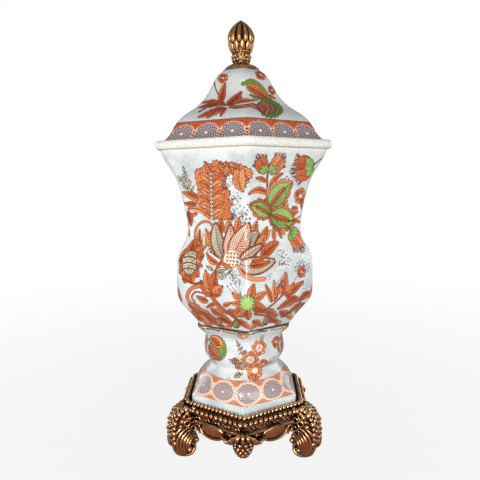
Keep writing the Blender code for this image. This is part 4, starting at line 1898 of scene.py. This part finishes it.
def at(place: Sequence[float], turn: Sequence[float] = (0, 0, 0),
       scale: Sequence[float] = (1, 1, 1)) -> Matrix:
    """Give the matrix of a place in millimetres, a turn in degrees and a scale."""
    angles = Euler([math.radians(value) for value in turn])
    return Matrix.LocRotScale(Vector(place) * MM, angles, Vector(scale))


def around(places: Sequence[Matrix], count: int = SIDES, shift: float = 0.0) -> list[Matrix]:
    """Repeat places round the upright axis.

    Args:
        places: The places of one share.
        count: Number of shares.
        shift: Part of a share by which the first one is turned on.

    Returns:
        All the places.
    """
    return [Matrix.Rotation(math.radians(360.0 * (number + shift) / count), 4,
        "Z") @ place for number in range(count) for place in places]


def ball(radius: float, place: Matrix | None = None, finer: bool = False) -> Object:
    """Add a bead at the origin, or settled in a place.

    Args:
        radius: Its radius.
        place: Where it goes, if not at the origin.
        finer: Whether it is divided once more.

    Returns:
        The bead.
    """
    deselect_everything()
    bpy.ops.mesh.primitive_ico_sphere_add(subdivisions=3 if finer else 2, radius=radius * MM)
    bead = bpy.context.object
    if place is not None:
        bead.matrix_world = place
        settle(bead)
    return bead


def ring_curl() -> Object:
    """Model a small open ring, standing upright and facing outwards.

    Returns:
        The ring.
    """
    deselect_everything()
    bpy.ops.mesh.primitive_torus_add(major_radius=2.9 * MM, minor_radius=1.05 * MM, major_segments=14,
        minor_segments=7, rotation=(0, math.radians(90), 0))
    settle(bpy.context.object)
    return bpy.context.object


def tube(way: Sequence[Sequence[float]], radii: Sequence[float], sides: int = 2) -> Object:
    """Draw a round rod along a curve, with its own radius at each point.

    Args:
        way: Points that it passes, in millimetres.
        radii: Its radius at each point.
        sides: Fineness of its section.

    Returns:
        The rod as a mesh.
    """
    curve = bpy.data.curves.new("rod", "CURVE")
    curve.dimensions = "3D"
    curve.bevel_depth = MM
    curve.bevel_resolution = sides
    curve.resolution_u = 5
    curve.use_fill_caps = True
    spline = curve.splines.new("NURBS")
    spline.points.add(len(way) - 1)
    for point, place, radius in zip(spline.points, way, radii):
        point.co = (*(Vector(place) * MM), 1)
        point.radius = radius
    spline.order_u = 3
    spline.use_endpoint_u = True
    rod = bpy.data.objects.new("rod", curve)
    bpy.context.scene.collection.objects.link(rod)
    take_up(rod)
    bpy.ops.object.convert(target="MESH")
    return bpy.context.object


@dataclass
class Casting:
    """A bronze piece joined from smaller ones.

    Attributes:
        node: The solid that it stands for.
        name: Its own name.
        slot: Name of a slot for its finish; not used.
        crease: Angle up to which it is shaded smooth, in degrees.
    """

    node: str
    name: str
    slot: str
    crease: float = 55.0

    def parts(self) -> list[Object]:
        """Model everything that the piece is joined from."""
        raise NotImplementedError

    def make(self, bronze: Material) -> None:
        """Join the piece and put it in the place of its solid."""
        dress(join_pieces(self.parts(), self.name), self.node, bronze, self.crease)


@dataclass
class BronzeBase(Casting):
    """The cast base: moulded frame, bead rows, frieze, shells, pendants and scroll feet."""

    node: str = "mount"
    name: str = "bronze_base"
    slot: str = "mount_bronze"
    moulding: tuple[Place, ...] = ((59.6, 72.9), (60.6, 74), (60.8, 75.6), (60.6, 77.6), (60, 79),
        (58.9, 79.6), (57.9, 81.4), (56.6, 82), (55.4, 81.2), (54.6, 79.4), (52.4, 77.6), (49.5, 77.2),
        (46.6, 78.4), (45.2, 79.6), (44.7, 82.2), (43.6, 83.4), (42.2, 83.2), (41.2, 81.4), (39.6, 80.2),
        (36, 80.8), (33.6, 81.6), (31.8, 81), (31.5, 78), (40, 76.8), (53, 72), (56, 64), (59, 64),
        (59, 72.9))

    def frame(self) -> Object:
        """Run the moulding round the hexagon, ring after ring, and close it.

        Returns:
            The frame.
        """
        height, reach = self.moulding[0]
        frame = first_ring(SIDES, reach, height)
        with editing(frame):
            bpy.ops.mesh.subdivide(number_cuts=15)
            raise_rings(self.moulding)
        settle(frame)
        with editing(frame):
            select_open_edges(frame)
            bpy.ops.mesh.bridge_edge_loops()
        face_outwards(frame)
        return frame

    def bead_rows(self) -> list[Object]:
        """Lay the row of round beads and the slanted row above it.

        Returns:
            The beads.
        """
        pieces = []
        for size, count, reach, level, lean, scale, shift in ((2.85, 13, 84.6, 56.9, 0, (1, 1, 1), 0.5),
                (2.75, 15, 78.6, 62.4, -34, (1.1, 0.86, 1.28), 0.3)):
            side = [at((reach * FLAT_SHARE, ((number + shift) / count - 0.5) * reach, level),
                (lean, 0, 0), scale) for number in range(count)]
            pieces += lay_copies(ball(size), around(side))
        return pieces

    def frieze(self) -> list[Object]:
        """Lay curled leaves and a waving stem in the hollow band.

        Returns:
            The leaves and the stem.
        """
        leaves = []
        for number in range(11):
            along = ((number + 0.5) / 11.0 - 0.5) * 76.0
            hand = 1.0 if number % 2 else -1.0
            leaves += [at((68.6, along, 49.8 + 2.2 * hand), (50.0 * hand, 0, 0), (0.7, 2.1, 0.8)),
                at((68.9, along + 2.4, 49.8 - 2.2 * hand), (-30.0 * hand, 0, 0), (0.6, 1.3, 0.7))]
        way = [(68.3, -37.0 + 37.0 * step / 11.0, 49.8 + 2.6 * (-1) ** step) for step in range(23)]
        stem = tube(way, [0.75] * len(way), 1)
        return lay_copies(ball(1.9), around(leaves)) + lay_copies(stem, around([Matrix()]))

    def apron(self) -> list[Object]:
        """Lay a ribbed shell in the middle of each side, curls and berries beside it.

        Returns:
            The pieces of all six sides.
        """
        turns = [math.radians(turn) for turn in range(-186, 8, 16)]
        way = [(72.6, 16.6 * math.cos(turn), 38.4 + 8.9 * math.sin(turn)) for turn in turns]
        rim = tube(way, [1] + [1.5] * (len(way) - 2) + [1])
        rib = tube([(0, 0, 1), (0.9, 0, -3.6), (0.2, 0, -8)], [0.7, 1.2, 0.6])
        ribs = [at((72.6, 0, 41), (lean, 0, 0)) for lean in (-40, -20, 0, 20, 40)]
        curls, berries = [], []
        for hand in (-1, 1):
            curls += [at((71.6, hand * along, level), scale=(size, size, size)) for along, level,
                size in ((21.5, 37.5, 1.15), (29, 36, 0.85), (25.5, 43, 0.7))]
            berries += [at((72, hand * along, level)) for along,
                level in ((18, 32.6), (24.5, 33.1), (32.5, 33.6))]
        dish = at((71, 0, 37.6), (0, 10, 0), (0.36, 1.84, 1))
        pieces = []
        for pattern, places in ((ball(9, finer=True), [dish]), (rim, [Matrix()]), (rib, ribs),
                (ring_curl(), curls), (ball(1.9), berries)):
            pieces += lay_copies(pattern, around(places))
        return pieces

    def pendant(self) -> list[Object]:
        """Model the berried drop under a corner, with leaves over its top and sides.

        Returns:
            The pieces of one drop.
        """
        deselect_everything()
        bpy.ops.mesh.primitive_uv_sphere_add(segments=20, ring_count=12, radius=MM)
        drop = bpy.context.object
        drop.matrix_world = at((79.6, 0, 32), scale=(8, 10, 12))
        berries = []
        for level, share, count in ((19.8, 0.22, 2), (22.6, 0.58, 5), (26.6, 0.85, 6), (31, 1, 7),
                (35.4, 1, 6), (39.6, 0.86, 5)):
            for berry in range(count):
                angle = math.radians(235.0 / count * (berry - (count - 1) / 2.0))
                berries.append(at((79.8 + 8.0 * share * math.cos(angle), 9.6 * share * math.sin(angle),
                    level)))
        pieces = [drop] + lay_copies(ball(2.75), berries)
        for hand in (-1, 0, 1):
            way = [(79, 3.0 * hand, 47), (86.6, 4.6 * hand, 46.4), (89.4, 6.6 * hand, 42.6),
                (88, 8.0 * hand, 39.6)]
            pieces.append(tube(way, [1.6, 2.9, 2.4, 0.8], 3))
        for hand in (-1, 1):
            for step in range(5):
                way = [(84.0 - 1.2 * step, hand * (7.0 + 1.2 * step), 43.5 - 0.9 * step),
                    (83.0 - 1.0 * step, hand * (11.6 + 1.6 * step), 38.5 - 1.3 * step),
                    (78, hand * (14.4 + 1.5 * step), 31.4 + 1.2 * step),
                    (74, hand * (20.0 + 1.6 * step), 32.5 + 1.7 * step)]
                pieces.append(tube(way, [1.2, 2.1, 1.9, 0.8]))
        return pieces

    def foot(self) -> list[Object]:
        """Model a scroll foot standing out along +X: leg, volutes, berries, rings and tip.

        Returns:
            The pieces of one foot.
        """
        face = ((83, 58.6), (90, 56.6), (96, 51.6), (99.6, 44), (101, 35), (101.2, 26), (100, 17))
        spots = np.linspace(0, 1, len(face))
        berries = []
        for column, side in enumerate((-12.4, -8.6, -4.3, 0, 4.3, 8.6, 12.4)):
            inner = abs(side) < 10.0
            inset = 0.03 * side * side if inner else 8.4
            for step in range(9 if inner else 6):
                share = (step + (0.5 if column % 2 else 0.0)) / 9.0
                reach, level = (float(np.interp(share, spots, line)) for line in zip(*face))
                full = 0.84 + 0.14 * ((3 * column + 2 * step) % 4)
                berries.append(at((reach - inset, side, level), scale=(full, full, full)))
        curls = [at((reach, hand * side, level), (0, 0, hand * turn), (size, size, size)) for hand in (-1,
            1) for reach, side, level, turn, size in ((84.6, 13.4, 51.4, 90, 1.1),
            (77.6, 13, 45.6, 96, 1.15), (84.6, 14.4, 43.6, 84, 1.2), (76, 12.4, 35.6, 96, 0.95),
            (83.6, 14.4, 35.8, 84, 0.8))]
        pieces = [self.leg()] + lay_copies(ball(2.85), berries) + lay_copies(ring_curl(), curls)
        for hand in (-1, 1):
            pieces += self.volute(hand)
        tip = at((70.6, 0, 18.6), (0, 30, 0), (0.9, 1.5, 1.25))
        return pieces + lay_copies(ball(4.4), [tip])

    def volute(self, hand: float) -> list[Object]:
        """Model the flutes that fall down one cheek of a foot, and the curl round its ball.

        Args:
            hand: 1 for the left cheek, -1 for the right one.

        Returns:
            The flutes, the curl, its ball and the knob on its end.
        """
        inner = ((72, 24.5), (77.4, 23.4), (81.4, 19), (83.2, 14.6), (83.8, 11.4), (84, 9.6))
        outer = ((88.4, 40.5), (96, 34.5), (100, 25), (99.6, 13.6), (95, 5.6), (87, 2.9))
        swell = (0.92, 1, 1.03, 1.02, 0.96, 0.88)
        pieces = []
        for step in range(6):
            share = step / 5.0
            way = []
            for (low_r, low_z), (high_r, high_z), full in zip(inner, outer, swell):
                reach = low_r + share * (high_r - low_r)
                bulge = math.sqrt(max(0.12, 1.0 - ((reach - 87.0) / 15.4) ** 2))
                way.append((reach, hand * full * (12.4 * bulge + 1.0), low_z + share * (high_z - low_z)))
            pieces.append(tube(way, [1.1, 2.1, 2.4, 2.2, 1.7, 1], 3))
        curl = [(88, hand * 11.0, 3), (82, hand * 11.6, 2.4), (76.6, hand * 11.2, 4.4),
            (74, hand * 10.4, 9.6), (75.6, hand * 9.8, 14.6), (79.4, hand * 9.4, 15.6)]
        pieces.append(tube(curl, [1.3, 1.9, 2.2, 2.2, 1.8, 1], 3))
        for radius, place in ((3.9, (81.2, hand * 11.4, 8.8)), (3.3, (69.6, hand * 5.4, 15))):
            pieces += lay_copies(ball(radius), [at(place)])
        return pieces

    def leg(self) -> Object:
        """Raise a straight fluted leg, carry its rings to the scroll and cut it off level.

        Returns:
            The leg.
        """
        stations = ((76, 53, 10, 5), (84, 50, 12.4, 8.2), (87, 41, 12.8, 12.2), (87.4, 31, 12.4, 13.4),
            (87.4, 21, 11.6, 13.4), (86.4, 11.4, 10.6, 12), (81, 6, 9.6, 9.6), (74.6, 8.4, 9, 6.6),
            (71.6, 14.4, 7.8, 4.6), (73.4, 19.6, 6, 3))
        last = len(stations) - 1
        leg = first_ring(28, 1)
        with editing(leg):
            for _ in range(last):
                raise_ring(1, 1)
        across = Vector((0, 1, 0))
        for point in leg.data.vertices:
            row = round(point.co.z / MM)
            before, after = stations[max(row - 1, 0)], stations[min(row + 1, last)]
            reach, height, width, thick = stations[row]
            ahead = Vector((after[0] - before[0], 0, after[1] - before[1])).normalized()
            turn = math.atan2(point.co.y, point.co.x)
            offset = across * width * math.sin(turn) + ahead.cross(across) * thick * math.cos(turn)
            flute = 1.0 + 0.05 * math.cos(14.0 * turn)
            point.co = (Vector((reach, 0, height)) + offset * flute) * MM
        with editing(leg):
            select_open_edges(leg)
            bpy.ops.mesh.edge_face_add()
        subdivide(leg, 2)
        with editing(leg):
            bpy.ops.mesh.bisect(plane_co=(0, 0, 0), plane_no=(0, 0, 1), use_fill=True, clear_inner=True,
                threshold=1e-6)
        return leg

    def parts(self) -> list[Object]:
        """Model the frame with its ornament, and the feet and pendants under every second corner.

        Returns:
            The pieces.
        """
        pieces = [self.frame()] + self.bead_rows() + self.frieze() + self.apron()
        for pattern, shift in ((self.foot(), 0.75), (self.pendant(), 0.25)):
            whole = join_pieces(pattern, "pattern")
            pieces += lay_copies(whole, around([Matrix()], 3, shift))
        return pieces


@dataclass
class Finial(Casting):
    """The bud on the lid: leafy collar, beaded knop, cup of petals and ridged bud."""

    node: str = "finial"
    name: str = "bronze_bud"
    slot: str = "finial_bronze"
    petals: int = 11
    outline: tuple[Place, ...] = ((451.9, 18), (452.2, 21), (453.1, 21.4), (455.1, 17), (457.1, 12),
        (459.4, 8.8), (462.4, 8.6), (465, 10), (469, 10.2), (472, 9.4), (474.6, 10), (479, 11),
        (484, 11.2), (488, 11.4), (493, 10.8), (498, 9), (502.6, 6.2), (506.6, 2.9), (509.6, 0.8))

    def core(self) -> Object:
        """Turn the round core that carries the petals.

        Returns:
            The core.
        """
        height, reach = self.outline[0]
        core = first_ring(36, reach, height, fill="NGON")
        with editing(core):
            raise_rings(self.outline)
        settle(core)
        face_outwards(core)
        return core

    def parts(self) -> list[Object]:
        """Model the core and lay the ridges, petals, beads and leaves round it.

        Returns:
            The pieces.
        """
        ridge = tube([(12.4, 0, 483.6), (13.2, 0, 486), (13.2, 0, 491), (11.2, 0, 496.8), (8.4, 0, 501.6),
            (4.4, 0, 505.6), (0.9, 0, 508.9)], [2, 2.8, 2.9, 2.5, 1.9, 1.2, 0.5], 3)
        petal = ball(1, at((12.2, 0, 479.6), (0, 17, 0), (2.4, 3.1, 6.2)), True)
        small = ball(1, at((10.2, 0, 473.6), (0, 0, 0), (1.5, 2.1, 1.4)))
        beads = [ball(size, at((reach, 0, level))) for level, reach,
            size in ((468.6, 9.9, 2.2), (464.6, 9.4, 2), (460.8, 8.6, 1.5))]
        leaf = ball(1, at((15.6, 0, 455.2), (0, 26, 0), (6.8, 3.9, 1.7)), True)
        rib = tube([(9.6, 0, 459.4), (14, 0, 457.6), (18.5, 0, 455.2), (21.6, 0, 452.8)],
            [0.8, 1.1, 1, 0.5])
        under = ball(1, at((17, 0, 453.8), (0, 24, 0), (4.6, 2.8, 1.3)))
        pieces = [self.core()]
        for pattern, count, shift in ((ridge, self.petals, 0), (petal, self.petals, 0.5), (small, 16, 0),
                (beads[0], 14, 0), (beads[1], 14, 0.5), (beads[2], 14, 0), (leaf, self.petals, 0.5),
                (rib, self.petals, 0.5), (under, self.petals, 0)):
            pieces += lay_copies(pattern, around([Matrix()], count, shift))
        return pieces


# Studio


@dataclass
class Studio:
    """Pale floor, soft lights and the camera."""

    lens: float = 34.8
    distance: float = 0.5656
    height: float = 0.3228
    shift: float = -0.0037
    yaw: float = 1.9
    pitch: float = 7.04
    roll: float = -0.61
    aim: float = 0.27
    floor_size: float = 60.0
    floor_level: float = -0.0005

    def hang(self, name: str, data: bpy.types.ID, place: Matrix) -> Object:
        """Add a camera or a light in its place.

        Args:
            name: Its name.
            data: The camera or the light.
            place: Its place.

        Returns:
            The object in its place.
        """
        thing = bpy.data.objects.new(name, data)
        bpy.context.scene.collection.objects.link(thing)
        thing.matrix_world = place
        return thing

    def camera(self) -> None:
        """Place the camera a little above the middle and looking slightly down."""
        data = bpy.data.cameras.new("camera")
        data.lens = self.lens
        turned = [Matrix.Rotation(math.radians(angle), 4, axis) for angle, axis in ((self.yaw, "Z"),
            (90.0 - self.pitch, "X"), (self.roll, "Z"))]
        back = Matrix.Translation((self.shift, -self.distance, self.height))
        place = turned[0] @ back @ turned[1] @ turned[2]
        bpy.context.scene.camera = self.hang("camera", data, place)

    def light(self, name: str, place: Sequence[float], size: Place, power: float,
            glossy: bool = True) -> None:
        """Hang a soft light that points at the urn's middle.

        Args:
            name: Name of the light.
            place: Where it hangs, in metres.
            size: Its width and height, in metres.
            power: Its power in watts.
            glossy: Whether it shows in reflections.
        """
        data = bpy.data.lights.new(name, "AREA")
        data.shape = "RECTANGLE"
        data.size, data.size_y = size
        data.energy = power
        turn = (Vector((0, 0, self.aim)) - Vector(place)).to_track_quat("-Z", "Y")
        lamp = self.hang(name, data, Matrix.Translation(place) @ turn.to_matrix().to_4x4())
        lamp.visible_glossy = glossy

    def floor(self) -> None:
        """Lay a wide white floor that keeps a soft shadow near the feet."""
        deselect_everything()
        bpy.ops.mesh.primitive_plane_add(size=self.floor_size, location=(0, 0, self.floor_level))
        floor = bpy.context.object
        settle(floor)
        floor.name = "studio_floor"
        material, r, shader, place = new_material("studio white")
        r.feed(shader, {"Base Color": r.mix(r.noise(place, 3, 2), (0.5, 0.5, 0.5), (0.53, 0.53, 0.525)),
            "Roughness": 0.9, "Specular IOR Level": 0.1})
        white = r.node("Emission", {"Color": (1, 1, 1), "Strength": 1.0})
        share = r.product(r.node("LightPath").outputs["Is Camera Ray"],
            r.ramp(r.length(place), 0.1, 1.2, 0.86, 1))
        both = r.node("MixShader", {0: share, 1: shader.outputs[0], 2: white.outputs[0]})
        r.feed(material.node_tree.nodes["Material Output"], {0: both.outputs[0]})
        floor.data.materials.append(material)

    def world(self) -> None:
        """Fill the surroundings with an even pale light."""
        scene = bpy.context.scene
        scene.world = bpy.data.worlds.new("studio")
        scene.world.use_nodes = True
        r = Recipe(scene.world.node_tree)
        seen = r.node("LightPath").outputs["Is Camera Ray"]
        r.feed(r.tree.nodes["Background"], {"Color": (1, 1, 1), "Strength": r.ramp(seen, 0, 1, 0.14, 1)})
        scene.view_settings.view_transform = "Standard"

    def build(self) -> None:
        """Set up everything round the urn."""
        self.world()
        self.floor()
        self.camera()
        self.light("key", (-0.2, -1.3, 0.45), (0.3, 0.75), 17)
        self.light("fill", (0.7, -1.2, 0.5), (0.7, 0.7), 4.5)
        for side in (-1, 1):
            self.light("side", (1.35 * side, 0.8, 0.34), (0.9, 1.1), 8)
        self.light("rear", (0, 1.4, 0.4), (1.2, 1), 9, glossy=False)


def main() -> None:
    """Build the urn's looks round its frame."""
    logging.basicConfig(level=logging.INFO, format="%(name)s: %(message)s")
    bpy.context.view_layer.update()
    glaze = PaintedGlaze().make()
    for shell in (Urn(), Cover(), Stand()):
        shell.make(glaze)
    recesses = recess_group()
    BronzeBase().make(GiltBronze().make(recesses))
    # The bud gets a weaker painted top light than the base.
    bud = GiltBronze("gilt bronze of the bud", bright=srgb(255, 226, 168), middle=srgb(206, 146, 88),
        roughness=0.31, depth=0.006, painted_top_light=0.45)
    Finial().make(bud.make(recesses))
    Studio().build()


if __name__ == "__main__":
    main()
